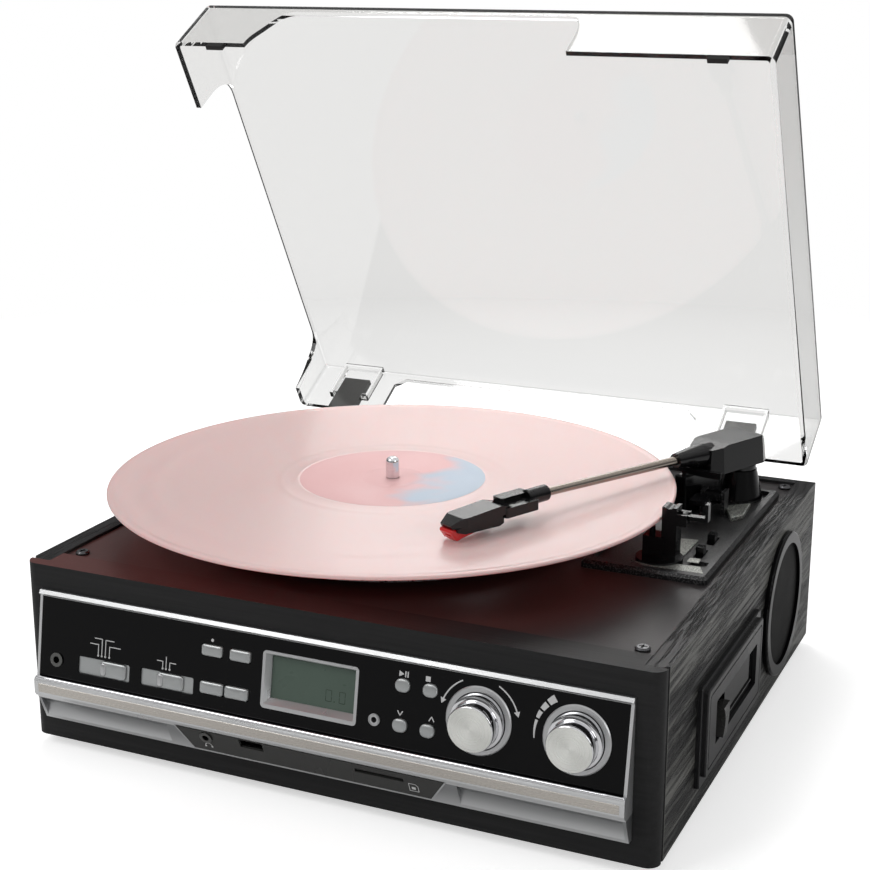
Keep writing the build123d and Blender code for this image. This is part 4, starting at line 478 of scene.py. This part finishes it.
# Finishes of the CAD pieces
# name, tone, roughness, depth of grain, shine, then what else differs
blackSatin = mouldedFinish("blackSatin", (0.010, 0.010, 0.011), 0.30, 0.08, 0.35)
armBlack = mouldedFinish("armBlack", (0.004, 0.004, 0.0045), 0.17, 0.06, 0.38, wide=0.05)
blackGloss = mouldedFinish("blackGloss", (0.002, 0.002, 0.0024), 0.07, 0.02, 0.12, wide=0.03)
blackMatte = mouldedFinish("blackMatte", (0.015, 0.015, 0.016), 0.6, 0.25, 0.3)
silverPaint = mouldedFinish("silverPaint", (0.56, 0.565, 0.57), 0.32, 0.06, metallic=0.85, vary=0.05)
buttonPaint = mouldedFinish("buttonPaint", (0.44, 0.455, 0.455), 0.35, 0.06, metallic=0.6, vary=0.04)
graphite = mouldedFinish("graphitePaint", (0.05, 0.05, 0.048), 0.25, 0.05, 0.3, metallic=0.3)
rubber = mouldedFinish("blackRubber", (0.02, 0.02, 0.02), 0.75, 0.35, 0.3)
grilleCloth = mouldedFinish("grilleCloth", (0.004, 0.004, 0.0038), 0.6, 0.6, 0.1, grain=1600)
boardGreen = mouldedFinish("boardGreen", (0.02, 0.10, 0.05), 0.4, 0.1)
whitePrint = mouldedFinish("whitePrint", (0.62, 0.62, 0.62), 0.45, 0.05, vary=0.03)
darkPrint = mouldedFinish("darkPrint", (0.02, 0.03, 0.022), 0.3, 0.02, 0.3)
champagne = metalFinish("champagneStrip", (0.60, 0.565, 0.52), roughness=0.26, depth=0.05)
chrome = metalFinish("brightChrome", (0.80, 0.80, 0.82), roughness=0.06, depth=0.01)
darkSteel = metalFinish("darkSteel", (0.10, 0.10, 0.105), depth=0.04)
tubeBronze = metalFinish("tubeBronze", (0.36, 0.315, 0.275), roughness=0.14, depth=0.02)
socketMetal = metalFinish("socketMetal", (0.16, 0.16, 0.155), roughness=0.3)
aluminium = metalFinish("plainAluminium", (0.55, 0.55, 0.56), roughness=0.3)
brass = metalFinish("brassBearing", (0.66, 0.50, 0.25), roughness=0.3)
darkFlakes = flakeFinish("speckledGraphite", 0.5, 1100.0, 0.48, 0.66, (0.016, 0.016, 0.017), (0.1, 0.1, 0.1))
paleFlakes = flakeFinish("glitterPaint", 0.6, 1200.0, 0.40, 0.62, (0.14, 0.145, 0.135), (0.50, 0.51, 0.47))

# Painted red glow: the record's red light painted as colour on the deck round the record, and on the rail's
# top towards the left
paintedRedGlow = {"deck": (0.090, 0.031, 0.028), "rail": (0.098, 0.034, 0.031), "middle": (-8, -16),
           "none": 0.182, "full": 0.132, "railNone": 0.10, "railFull": -0.02}


def frontPaintFinish():
    # black lacquer over faint horizontal lines: the brushing group runs along X; the record's red light is
    # painted as a red glow on the rail's up-facing top, towards the left
    material, tree, shader = startMaterial("frontPaint")
    strokes = placeGroup(tree, brushGroup, {"Stroke Scale": 700.0, "Along": 0.03})["Strokes"]
    smudge = placeGroup(tree, skinGroup, {"Cloud Scale": 9.0})["Smudge"]
    lacquer = twoTone(tree, strokes, (0.009, 0.009, 0.0095), (0.020, 0.020, 0.0205))
    upward = ramp(tree, normalOf(tree)["Z"], 0.5, 0.95)
    across = partsOf(tree, spotOf(tree))["X"]
    leftward = ramp(tree, across, paintedRedGlow["railNone"], paintedRedGlow["railFull"], kind="SMOOTHSTEP")
    feed(tree, shader, {
        "Specular IOR Level": 0.2, "Roughness": spread(tree, smudge, 0.38, 0.52),
        "Base Color": twoTone(tree, reckon(tree, "MULTIPLY", upward, leftward), lacquer, paintedRedGlow["rail"]),
        "Normal": bump(tree, strokes, 0.25, 0.0002)})
    return material


def framePaintFinish():
    # silver paint with painted shade at the scoops' tops and painted light at their feet, and painted shade
    # on lips that face up
    material, tree, shader = startMaterial("framePaint")
    skin = placeGroup(tree, skinGroup, {"Grain Scale": 900.0})
    height = partsOf(tree, spotOf(tree))["Z"]
    scoopTop, scoopFoot, stripFoot = [place(0, 0, panelTop - drop).z for drop in (55.0, 69.0, 52.5)]
    paintedShading = ramp(tree, height, scoopTop, scoopFoot, kind="SMOOTHSTEP")
    paintedLight = reckon(tree, "MAXIMUM", paintedShading, reckon(tree, "GREATER_THAN", height, stripFoot))
    paintAndPaintedShade = twoTone(tree, paintedLight, (0.30, 0.305, 0.31), (0.66, 0.665, 0.67))
    upward = ramp(tree, normalOf(tree)["Z"], 0.45, 0.8)
    feed(tree, shader, {
        "Metallic": 0.85, "Base Color": twoTone(tree, upward, paintAndPaintedShade, (0.33, 0.335, 0.345)),
        "Roughness": spread(tree, skin["Smudge"], 0.24, 0.38),
        "Normal": bump(tree, skin["Speckle"], 0.06, 0.0003)})
    return material


def deckFinish():
    # satin black film; the record's red light is painted on it as a warm glow that fades outwards
    material, tree, shader = startMaterial("deckFilm")
    skin = placeGroup(tree, skinGroup, {"Grain Scale": 700.0, "Cloud Scale": 7.0})
    middle = place(discMid.x + paintedRedGlow["middle"][0], discMid.y + paintedRedGlow["middle"][1], caseTop)
    away = lengthOf(tree, shift(tree, "SUBTRACT", spotOf(tree), middle))
    # painted glow: red painted into the deck's colour near the record
    paintedGlowMask = ramp(tree, away, paintedRedGlow["none"], paintedRedGlow["full"], kind="SMOOTHSTEP")
    feed(tree, shader, {
        "Specular IOR Level": 0.18, "Roughness": spread(tree, skin["Smudge"], 0.27, 0.42),
        "Base Color": twoTone(tree, paintedGlowMask, (0.024, 0.021, 0.0215), paintedRedGlow["deck"]),
        "Normal": bump(tree, skin["Speckle"], 0.1, 0.0003)})
    return material


def sideVeneer():
    # grey streaks along the depth on the outer faces, plain black on edges, a pale strip along the front edge
    material, tree, shader = startMaterial("sideVeneer")
    grain = placeGroup(tree, grainGroup, {"Line Scale": 420.0, "Stretch": 0.045, "Pore Depth": 0.7})
    pale, frontStripWide = (0.13, 0.13, 0.12), 0.0032
    veneer = twoTone(tree, ramp(tree, grain["Lines"], 0.21, 0.33), (0.004, 0.004, 0.004), pale)
    outer = ramp(tree, reckon(tree, "ABSOLUTE", normalOf(tree)["X"]), 0.8, 0.95)
    faced = twoTone(tree, outer, (0.010, 0.010, 0.0105), veneer)
    paleFrontStrip = reckon(tree, "LESS_THAN", partsOf(tree, spotOf(tree))["Y"], sideLow.y + frontStripWide)
    feed(tree, shader, {
        "Specular IOR Level": 0.2, "Roughness": spread(tree, grain["Lines"], 0.38, 0.55),
        "Base Color": twoTone(tree, reckon(tree, "MULTIPLY", paleFrontStrip, outer), faced, pale),
        "Normal": bump(tree, grain["Pores"], 0.9, 0.0006)})
    return material


def clearAcrylic():
    # tinted clear plastic, its tint darker towards the lid's foot; shadow rays pass, so that what is under
    # the lid is lit
    material, tree, shader = startMaterial("clearAcrylic")
    smudge = placeGroup(tree, skinGroup, {"Cloud Scale": 9.0})["Smudge"]
    fade = ramp(tree, partsOf(tree, spotOf(tree))["Z"], 0.10, 0.22, kind="SMOOTHSTEP")
    feed(tree, shader, {
        "Transmission Weight": 1.0, "IOR": 1.38, "Roughness": spread(tree, smudge, 0.015, 0.05),
        "Base Color": twoTone(tree, fade, (0.70, 0.70, 0.695), (0.80, 0.797, 0.788))})
    passing = addNode(tree, "ShaderNodeBsdfTransparent", {"Color": (0.88, 0.875, 0.87, 1)})
    shadow = addNode(tree, "ShaderNodeLightPath").outputs["Is Shadow Ray"]
    mix = addNode(tree, "ShaderNodeMixShader", {"Fac": shadow, 1: shader.outputs[0], 2: passing.outputs[0]})
    feed(tree, tree.nodes["Material Output"], {"Surface": mix.outputs[0]})
    return material


def smudgedFinish(name, cloud, low, high, smooth, rough, settings):
    # two close tones in broad clouds, shinier where the cloud is dark
    material, tree, shader = startMaterial(name)
    smudge = placeGroup(tree, skinGroup, {"Cloud Scale": cloud})["Smudge"]
    feed(tree, shader, {**settings, "Base Color": twoTone(tree, smudge, low, high),
                        "Roughness": spread(tree, smudge, smooth, rough)})
    return material


redGel = smudgedFinish("redGel", 14.0, (0.55, 0.004, 0.006), (0.72, 0.012, 0.014), 0.12, 0.25,
                       {"Coat Weight": 0.4, "Coat Roughness": 0.05})
displayCell = smudgedFinish("displayCell", 25.0, (0.076, 0.110, 0.088), (0.092, 0.130, 0.105), 0.25, 0.35,
                            {"Specular IOR Level": 0.3})
finishes = (
    (frontPaintFinish(), "front_board"), (sideVeneer(), "side_boards"), (deckFinish(), "deck_plate"),
    (framePaintFinish(), "fascia_frame"), (displayCell, "display_glass"), (clearAcrylic(), "lid"),
    (redGel, "stylus"),
    (blackMatte, "rear_and_base speaker_drivers rear_sockets hinge_boxes"),
    (rubber, "rubber_feet drive_belt platter_mat lid_bumpers"), (darkSteel, "deck_screws"),
    (blackGloss, "control_panel speaker_rims cassette_flap"), (silverPaint, "knob_rings display_frame"),
    (chrome, "tuning_knob volume_knob spindle"), (boardGreen, "control_board"), (champagne, "band_strip"),
    (graphite, "port_panel eject_piece hinge_leaves"), (socketMetal, "front_sockets"),
    (grilleCloth, "speaker_grilles"), (blackSatin, "cassette_unit vinyl_record"),
    (aluminium, "drive_motor platter"),
    (brass, "motor_pulley spindle_bearing"), (darkFlakes, "arm_plate"), (tubeBronze, "arm_tube"),
    (armBlack, "arm_supports arm_yoke arm_housing arm_collar headshell cartridge lift_bar cue_lever arm_clip "
               "speed_switch stop_switch"),
)
nodeFinishes = {node: finish for finish, nodes in finishes for node in nodes.split()}
for nodeName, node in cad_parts.items():  # buttons and sliders wear the paint of their own tops
    wear(node, nodeFinishes.get(nodeName, buttonPaint))
print("finishes on", len(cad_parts), "nodes")

# Record: lathe with a raised lip, sunk grooved ring, run-out and label seat
record = {"edge": 150.8, "thick": 2.0, "lip": 147.3, "sunk": 0.3, "runOut": 61.0, "label": 49.6,
          "hole": 3.64, "groove": 17.15,
          "topLow": (0.815, 0.56, 0.545), "topHigh": (0.835, 0.585, 0.565), "under": (0.75, 0.22, 0.20),
          "labelWarm": (0.80, 0.48, 0.48), "labelCool": (0.52, 0.60, 0.70)}


def aroundAxis(tree, centre, keep):  # Object coordinates from a centre, without the part along the axis
    return shift(tree, "MULTIPLY", shift(tree, "SUBTRACT", spotOf(tree), place(*centre)), keep)


def recordFinish():
    # pearly pink: fine rings by radius, broader bands between tracks, turned anisotropy, and an underside
    # painted deeper red as a painted glow of light through the vinyl
    material, tree, shader = startMaterial("pinkVinyl")
    flat = aroundAxis(tree, (discMid.x, discMid.y, 0), (1, 1, 0))
    fine = placeGroup(tree, turnedGroup, {"Ring Scale": 2600.0, "Place": flat})["Rings"]
    broad = placeGroup(tree, turnedGroup, {"Ring Scale": 110.0, "Place": flat})["Rings"]
    top = twoTone(tree, broad, record["topLow"], record["topHigh"])
    under = reckon(tree, "LESS_THAN", normalOf(tree)["Z"], -0.5)
    feed(tree, shader, {
        "Anisotropic": 0.75, "Coat Weight": 0.15, "Coat Roughness": 0.12, "Subsurface Weight": 0.4,
        "Subsurface Radius": (1.0, 0.22, 0.18), "Subsurface Scale": 0.005,
        "Base Color": twoTone(tree, under, top, record["under"]),
        "Roughness": spread(tree, broad, 0.30, 0.37),
        "Tangent": addNode(tree, "ShaderNodeTangent", direction_type="RADIAL", axis="Z").outputs[0],
        "Normal": bump(tree, fine, 0.10, 0.0001)})
    return material


def labelFinish():
    # soft cloud between pink on the left and pale blue on the right
    material, tree, shader = startMaterial("labelPaper")
    spot = spotOf(tree)
    cloud = noiseOf(tree, spot, 30.0, twist=0.3)
    left, right = place(discMid.x - 20, 0, 0).x, place(discMid.x + 60, 0, 0).x
    slide = ramp(tree, partsOf(tree, spot)["X"], left, right, -0.35, 0.35)
    mask = ramp(tree, reckon(tree, "ADD", cloud, slide), 0.42, 0.66, kind="SMOOTHSTEP")
    fibre = placeGroup(tree, skinGroup, {"Grain Scale": 3000.0})["Speckle"]
    feed(tree, shader, {
        "Base Color": twoTone(tree, mask, record["labelWarm"], record["labelCool"]),
        "Roughness": spread(tree, cloud, 0.4, 0.55), "Normal": bump(tree, fibre, 0.1, 0.0001)})
    return material


def makeRecord():
    edge, thick, lip, sunk = record["edge"], record["thick"], record["lip"], record["sunk"]
    runOut, seat, hole = record["runOut"], record["label"], record["hole"]
    centre = (discMid.x, discMid.y, discTop)
    profile = [(seat, -thick), (lip, -thick + 0.1), (edge - 0.8, -thick), (edge - 0.25, -thick + 0.2),
               (edge, -thick + 0.6), (edge, -0.6), (edge - 0.25, -0.2), (edge - 0.8, 0.0),
               (lip + 0.8, 0.0), (lip, -0.12), (lip - 0.8, -sunk)]
    profile += [(radius, -sunk) for radius in np.linspace(lip - 2.0, runOut, 24)]
    profile += [(runOut - 0.6, -0.22), (runOut - 2.5, -0.24), (seat + 3.0, -0.22), (seat + 1.4, 0.0),
                (seat + 0.6, 0.0), (seat + 0.3, -0.08), (hole + 0.3, -0.08), (hole, -0.3), (hole, -thick)]
    closed = [(hole, -thick)] + profile
    disc = turnedPiece("recordDisc", closed[::-1][1:], centre, (0, 0, 1), "turntable", 256)
    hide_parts("vinyl_record")
    disc.data.materials.append(recordFinish())
    groove = record["groove"]  # a ring pressed into the label
    paper = [(hole + 0.1, -0.09), (hole + 0.1, -0.01), (groove - 0.55, -0.01), (groove - 0.25, -0.06),
             (groove + 0.25, -0.06), (groove + 0.55, -0.01), (seat - 0.2, -0.01), (seat, -0.05),
             (seat, -0.09)]
    label = turnedPiece("recordLabel", paper[::-1], centre, (0, 0, 1), "turntable", 160)
    label.data.materials.append(labelFinish())


makeRecord()
print("record made")

# Knobs: spun face, smooth chrome body and stepped skirt on a lathe; each turns with its own body
knob = {"skirt": 12.9, "body": 11.2, "bore": 9.6, "faceDish": 0.15, "sunk": 0.7, "skirtHigh": 8.4, "paintedFans": 4,
        "paintedFanDark": (0.70, 0.705, 0.67), "paintedFanLit": (0.97, 0.975, 0.935)}


def spunFinish(name, centre):
    # fine rings by radius with turned anisotropy, and painted highlight in fans: a sine of the angle round
    # the axis lightens and darkens the face's colour
    material, tree, shader = startMaterial(name)
    flat = aroundAxis(tree, centre, (1, 0, 1))
    rings = placeGroup(tree, turnedGroup, {"Ring Scale": 4000.0, "Place": flat})["Rings"]
    sides = partsOf(tree, flat)
    plane = addNode(tree, "ShaderNodeCombineXYZ", {"X": sides["X"], "Y": sides["Z"]}).outputs[0]
    angle = addNode(tree, "ShaderNodeTexGradient", {"Vector": plane}, gradient_type="RADIAL").outputs["Fac"]
    paintedFans = reckon(tree, "SINE", reckon(tree, "MULTIPLY", angle, knob["paintedFans"] * math.pi))
    paintedShading = ramp(tree, paintedFans, -1.0, 1.0, 0.3, 0.7)
    feed(tree, shader, {
        "Metallic": 1.0, "Anisotropic": 0.8, "Roughness": spread(tree, rings, 0.2, 0.38),
        "Base Color": twoTone(tree, paintedShading, knob["paintedFanDark"], knob["paintedFanLit"]),
        "Tangent": addNode(tree, "ShaderNodeTangent", direction_type="RADIAL", axis="Y").outputs[0],
        "Normal": bump(tree, rings, 0.2, 0.0001)})
    return material


def makeKnob(node, body):
    middle = middleOf(node)
    centre = (middle.x, 0.0, middle.z)
    front = -asCase(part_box(node)[0]).y  # heights grow towards the viewer
    back, step = halfDeep - knob["sunk"], halfDeep + knob["skirtHigh"]
    skirt, radius, bore = knob["skirt"], knob["body"], knob["bore"]
    side = [(bore, back), (skirt - 0.25, back), (skirt, back + 0.3), (skirt, step - 0.9),
            (skirt - 0.2, step - 0.3), (skirt - 0.75, step), (radius + 0.35, step),
            (radius + 0.12, step + 0.15), (radius, step + 0.4)]
    side += [(radius, height) for height in np.linspace(step + 1.0, front - 1.3, 5)]
    side += [(radius - 0.04, front - 0.6), (radius - 0.2, front - 0.25), (radius - 0.44, front - 0.08),
             (radius - 0.46, front - 0.4), (radius - 1.2, front - 0.6), (bore, back + 6)]
    shell = turnedPiece(body + "Knob", side, centre, (0, -1, 0), body, 160, 35)
    rim, dish = radius - 0.45, knob["faceDish"]
    face = [(rim, front - 0.5), (rim, front - 0.03), (rim - 0.15, front), (rim * 0.6, front - dish * 0.5),
            (0.4, front - dish)]
    disc = turnedPiece(body + "KnobFace", face, centre, (0, -1, 0), body, 160, 35)
    wear(shell, chrome)
    wear(disc, spunFinish(body + "Face", centre))
    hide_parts(node)


makeKnob("tuning_knob", "tuning")
makeKnob("volume_knob", "volume")
print("knobs made")

# Print on the panel and the skirt: leader lines, turning arrows, a growing wedge, signs, sliders' beds
prints = {
    "line": 0.42, "dot": 0.55, "arrow": 0.65, "knobDown": 20.4, "leaderFoot": 25.4,
    "leaders": (  # place across, rise, run sideways
        (-121.5, 5.6, -5.0), (-119.4, 8.6, -4.5), (-117.3, 8.4, 5.0), (-114.9, 5.4, 6.5),
        (-83.6, 3.6, -3.4), (-81.7, 6.0, -0.2), (-79.6, 3.4, 3.6)),
    "arrowRadius": 19.3, "arrows": ((118, 158, 250), (64, 22, -70)),  # from, to, the head's way, in degrees
    "wedgeRadius": 20.2, "wedge": (  # from, to in degrees, width at each
        (124, 135, 3.5, 3.0), (138, 148, 2.8, 2.3), (151, 161, 2.1, 1.6), (164, 188, 1.4, 0.5)),
    "signTop": 4.2, "signFoot": 7.0, "chevronDown": 24.1, "chevronHalf": 1.3, "chevronRise": 1.1,
    "bandMid": -58.6, "card": ((50.0, 6.2), (53.4, 6.2), (54.6, 7.4), (54.6, 11.0), (50.0, 11.0)),
    "cardPlate": ((51.2, 8.2), (53.2, 8.2), (53.2, 9.8), (51.2, 9.8)),
    "beds": ((-118.0, 31.8, 30.4, 8.6), (-81.0, 31.4, 30.3, 8.3)), "bedSunk": -1.0,
    "figures": (4.6, 11.8), "figuresDown": 21.0, "figureLine": 0.28, "cell": -3.6,
}


def leader(x, w, rise, run):  # a dot, a line up and a line sideways
    width = prints["line"]
    top = w - rise
    up, sideways = stroke(x, w, x, top - width / 2, width), stroke(x, top, x + run, top, width)
    return [dot(x, w, prints["dot"]), up, sideways]


def arrowHead(x, w, heading, size):  # a triangle whose tip points along the heading, in degrees
    angle = math.radians(heading)
    along = (math.cos(angle), -math.sin(angle))
    tip = (x + along[0] * size * 1.7, w + along[1] * size * 1.7)
    return [tip, (x - along[1] * size, w + along[0] * size), (x + along[1] * size, w - along[0] * size)]


def knobPrint():
    tuningX, volumeX, down = middleOf("tuning_knob").x, middleOf("volume_knob").x, prints["knobDown"]
    width, radius = prints["arrow"], prints["arrowRadius"]
    shapes = []
    for low, high, heading in prints["arrows"]:
        angle = math.radians(high)
        tip = (tuningX + radius * math.cos(angle), down - radius * math.sin(angle))
        shapes += [arcBand(tuningX, down, radius, low, high, width, width), arrowHead(*tip, heading, 1.5)]
    for low, high, wideLow, wideHigh in prints["wedge"]:
        shapes.append(arcBand(volumeX, down, prints["wedgeRadius"], low, high, wideLow, wideHigh))
    return shapes


def signPrint():
    # a triangle with two bars, a square, open chevrons down and up, and a dot
    left, right, dotAt = [middleOf(node).x for node in ("play_button", "stop_button", "memory_button")]
    top, foot = prints["signTop"], prints["signFoot"]
    half, rise, down = prints["chevronHalf"], prints["chevronRise"], prints["chevronDown"]
    shapes = [[(left - 2.2, top), (left + 0.3, (top + foot) / 2), (left - 2.2, foot)]]
    shapes += [stroke(left + gap, top, left + gap, foot, 0.6) for gap in (1.0, 2.2)]
    shapes.append([(right - 2.8, 4.6), (right - 0.4, 4.6), (right - 0.4, foot), (right - 2.8, foot)])
    for x, way in ((left - 0.5, rise), (right + 1.5, -rise)):
        shapes.append(stroke(x - half, down - way, x, down + way, 0.5))
        shapes.append(stroke(x, down + way, x + half, down - way, 0.5))
    return shapes + [dot(dotAt - 0.4, 6.8, 0.8)]


def makePrint():
    shapes = []
    for x, rise, run in prints["leaders"]:
        shapes += leader(x, prints["leaderFoot"], rise, run)
    wear(printPiece("panelPrint", shapes + knobPrint() + signPrint(), onPanel, 0.0, "case"), whitePrint)
    band, card = prints["bandMid"], list(prints["card"])
    shapes = [arcBand(band, 10.6, 1.9, 0, 180, 0.4, 0.4)]
    shapes += [dot(band - 1.8, 10.9, 0.55), dot(band + 1.8, 10.9, 0.55)]
    shapes += [stroke(*a, *b, 0.3) for a, b in zip(card, card[1:] + card[:1])] + [list(prints["cardPlate"])]
    wear(printPiece("skirtPrint", shapes, onSkirt, 0.4, "case"), whitePrint)


def makeDigits():
    # seven-stroke figures lying on the display cell, faint as in a lit room
    strokes = (((0, 0), (0, 2.5)), ((0, 2.9), (0, 5.4)), ((3, 0), (3, 2.5)), ((3, 2.9), (3, 5.4)),
               ((0.2, 0), (2.8, 0)), ((0.2, 5.4), (2.8, 5.4)))
    down, width = prints["figuresDown"], prints["figureLine"]
    shapes = [stroke(x + a[0], down + a[1], x + b[0], down + b[1], width)
              for x in prints["figures"] for a, b in strokes]
    shapes.append(dot(9.2, 26.2, 0.3))
    wear(printPiece("displayDigits", shapes, onPanel, prints["cell"], "case", 0.02), darkPrint)


def makeBeds():
    beds = [roundedBox(*bed, 1.0) for bed in prints["beds"]]
    wear(printPiece("sliderBeds", beds, onPanel, prints["bedSunk"], "case", 0.12), buttonPaint)


makePrint()
makeDigits()
makeBeds()
print("print made")

# Trim: bright bead along the top of the strip, a silver line round the ports, the indicator's dark lens
trim = {
    "beadRadius": 0.95, "beadDrop": 40.9, "beadOut": 10.35, "beadLeft": -157.3, "beadRight": 155.1,
    "beadSteps": 24, "portLine": [(-75.5, 0.4), (-67.8, 14.4), (60.4, 14.4), (69.4, 0.4)],
    "lensAt": (32.4, 29.4, 0.35), "lens": [(1.95, 0.0), (1.9, 0.25), (1.3, 0.6), (0.6, 0.75), (0.05, 0.8)],
}


def makeBead():
    # a round rod along X with its ends drawn in
    left, right, radius, steps = trim["beadLeft"], trim["beadRight"], trim["beadRadius"], trim["beadSteps"]
    x = np.concatenate([[left, left + 0.35], np.linspace(left + 1, right - 1, 40), [right - 0.35, right]])
    size = np.ones(len(x)) * radius
    size[[0, -1]], size[[1, -2]] = 0.05, radius * 0.75
    angle = np.linspace(0, 2 * math.pi, steps, endpoint=False)
    y = -halfDeep - trim["beadOut"] - size[:, None] * np.cos(angle)
    z = panelTop - trim["beadDrop"] + size[:, None] * np.sin(angle)
    points = np.stack([np.repeat(x[:, None], steps, 1), y, z], -1).reshape(-1, 3)
    last = (len(x) - 1) * steps
    ends = [list(range(steps))[::-1], list(range(last, last + steps))]
    wear(makePiece("bandBead", points, gridFaces(len(x), steps, loopColumns=True) + ends, "case", 50), chrome)


def makePortTrim():
    line = trim["portLine"]
    shapes = [stroke(*a, *b, 0.7) for a, b in zip(line[:-1], line[1:])]
    wear(printPiece("portTrim", shapes, onSkirt, 0.1, "case", 0.45), silverPaint)


def makeLamp():
    out = onPanel(0, 0, 1) - onPanel(0, 0, 0)
    wear(turnedPiece("lampLens", trim["lens"], onPanel(*trim["lensAt"]), out, "case", 32), blackGloss)


makeBead()
makePortTrim()
makeLamp()
print("trim made")

# Buttons: softly domed tops in place of the CAD ones, each on its own body
upperKey, lowerKey, roundKey = (11.8, 11.4, 5.6, 1.2), (30.3, 12.9, 6.0, 1.2), (7.4, 6.4, 2.9)
dome = {"rise": 1.25, "crown": 0.25, "start": -0.6, "buttons": {  # down the slope, width, height, corner
    "memory_button": upperKey, "mode_button": upperKey, "delete_button": lowerKey, "record_button": lowerKey,
    "play_button": (10.9, *roundKey), "stop_button": (10.9, *roundKey),
    "back_button": (29.8, *roundKey), "next_button": (29.8, *roundKey)}}

# Slider thumbs: a domed plate with a grip rib at its left end
thumb = {"wide": 15.4, "corner": 1.8, "start": -0.75, "rise": 0.3, "crown": 0.3, "ribAt": 5.3,
         "rib": (3.4, 6.6, 1.6, 0.0, 1.2, 0.15),  # width, height, corner, start, rise, crown
         "sliders": (("function_slider", "function", 31.8, 8.0), ("band_slider", "band", 31.4, 7.7))}


def domedPlate(name, cx, cw, wide, tall, corner, low, high, crown, body):
    # rings of one rounded outline, drawn in and raised step by step, closed by a middle point
    outline = np.array(roundedBox(0, 0, wide, tall, corner, 8))
    inset = [(0.0, low), (0.0, high - 0.75), (0.06, high - 0.45), (0.22, high - 0.2), (0.5, high - 0.04),
             (0.9, high + crown * 0.35)]
    steps = [(np.array([1 - 2 * drawn / wide, 1 - 2 * drawn / tall]), e) for drawn, e in inset]
    steps += [(0.55, high + crown * 0.8), (0.25, high + crown)]
    points = [onPanel(cx + x, cw + w, e) for shrink, e in steps for x, w in outline * shrink]
    count = len(outline)
    points.append(onPanel(cx, cw, high + crown))
    last = (len(steps) - 1) * count
    cap = [(last + (i + 1) % count, last + i, len(points) - 1) for i in range(count)]
    return makePiece(name, points, gridFaces(len(steps), count, loopColumns=True) + cap, body, 35)


def makeButtons():
    for node, (w, wide, tall, corner) in dome["buttons"].items():
        shape = (wide, tall, corner, dome["start"], dome["rise"], dome["crown"])
        piece = domedPlate(node + "Cap", middleOf(node).x, w, *shape, node)
        wear(piece, buttonPaint)
        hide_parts(node)


def makeThumbs():
    for node, body, w, tall in thumb["sliders"]:
        x = middleOf(node).x
        shape = (thumb["wide"], tall, thumb["corner"], thumb["start"], thumb["rise"], thumb["crown"])
        plate = domedPlate(body + "Thumb", x, w, *shape, body)
        wear(plate, buttonPaint)
        wear(domedPlate(body + "Rib", x - thumb["ribAt"], w, *thumb["rib"], body), silverPaint)
        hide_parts(node)


makeButtons()
makeThumbs()
print("buttons and thumbs made")

# Glittering facets of the tonearm plate's moulding: height of the base, thickness, outline in plan
facets = {
    "facetSwitch": (94.1, 0.9, [(121.0, 19.5), (134.0, 21.5), (134.0, -3.0), (128.5, -6.0), (120.5, -4.5)]),
    "facetCorner": (95.7, 0.4, [(138.3, -9.6), (143.9, -9.2), (144.6, -15.4), (138.3, -15.8)]),
    "facetPivot": (94.1, 2.6, [(132.8, 77.0), (144.6, 87.5), (146.2, 66.0), (141.0, 58.4)]),
    "facetFront": (94.1, 2.45, [(112.0, -25.0), (119.0, -27.5), (128.1, -22.0), (147.0, -21.0),
                                (151.4, -30.2), (131.2, -31.0), (119.2, -31.4)]),
}


def makeFacets():
    for name, (base, thick, outline) in facets.items():
        corners = outline if signedArea(outline) > 0 else outline[::-1]
        wear(blockPiece(name, corners, thick, (0, 0, base), (1, 0, 0), (0, 1, 0), "case", 0.5), paleFlakes)


makeFacets()
print("plate facets made")

# Red stylus guard under the headshell's nose: a wedge drawn from the side, along the arm and above the deck
guard = {"heading": 24.4, "pivot": (133.5, 103.0), "half": 4.6, "edge": 0.7, "profile": (
    (197.5, 31.4), (197.5, 29.6), (204.0, 27.4), (213.6, 26.0), (215.0, 25.4), (216.4, 25.4), (217.4, 26.3),
    (220.2, 30.2), (219.6, 31.5))}


def makeGuard():
    heading, half = math.radians(guard["heading"]), guard["half"]
    out = Vector((-math.sin(heading), -math.cos(heading), 0))
    side = Vector((math.cos(heading), -math.sin(heading), 0))
    start = Vector((*guard["pivot"], caseTop)) + side * half
    piece = blockPiece("guard", guard["profile"], 2 * half, start, out, (0, 0, 1), "arm", guard["edge"])
    wear(piece, redGel)


makeGuard()
print("guard made")
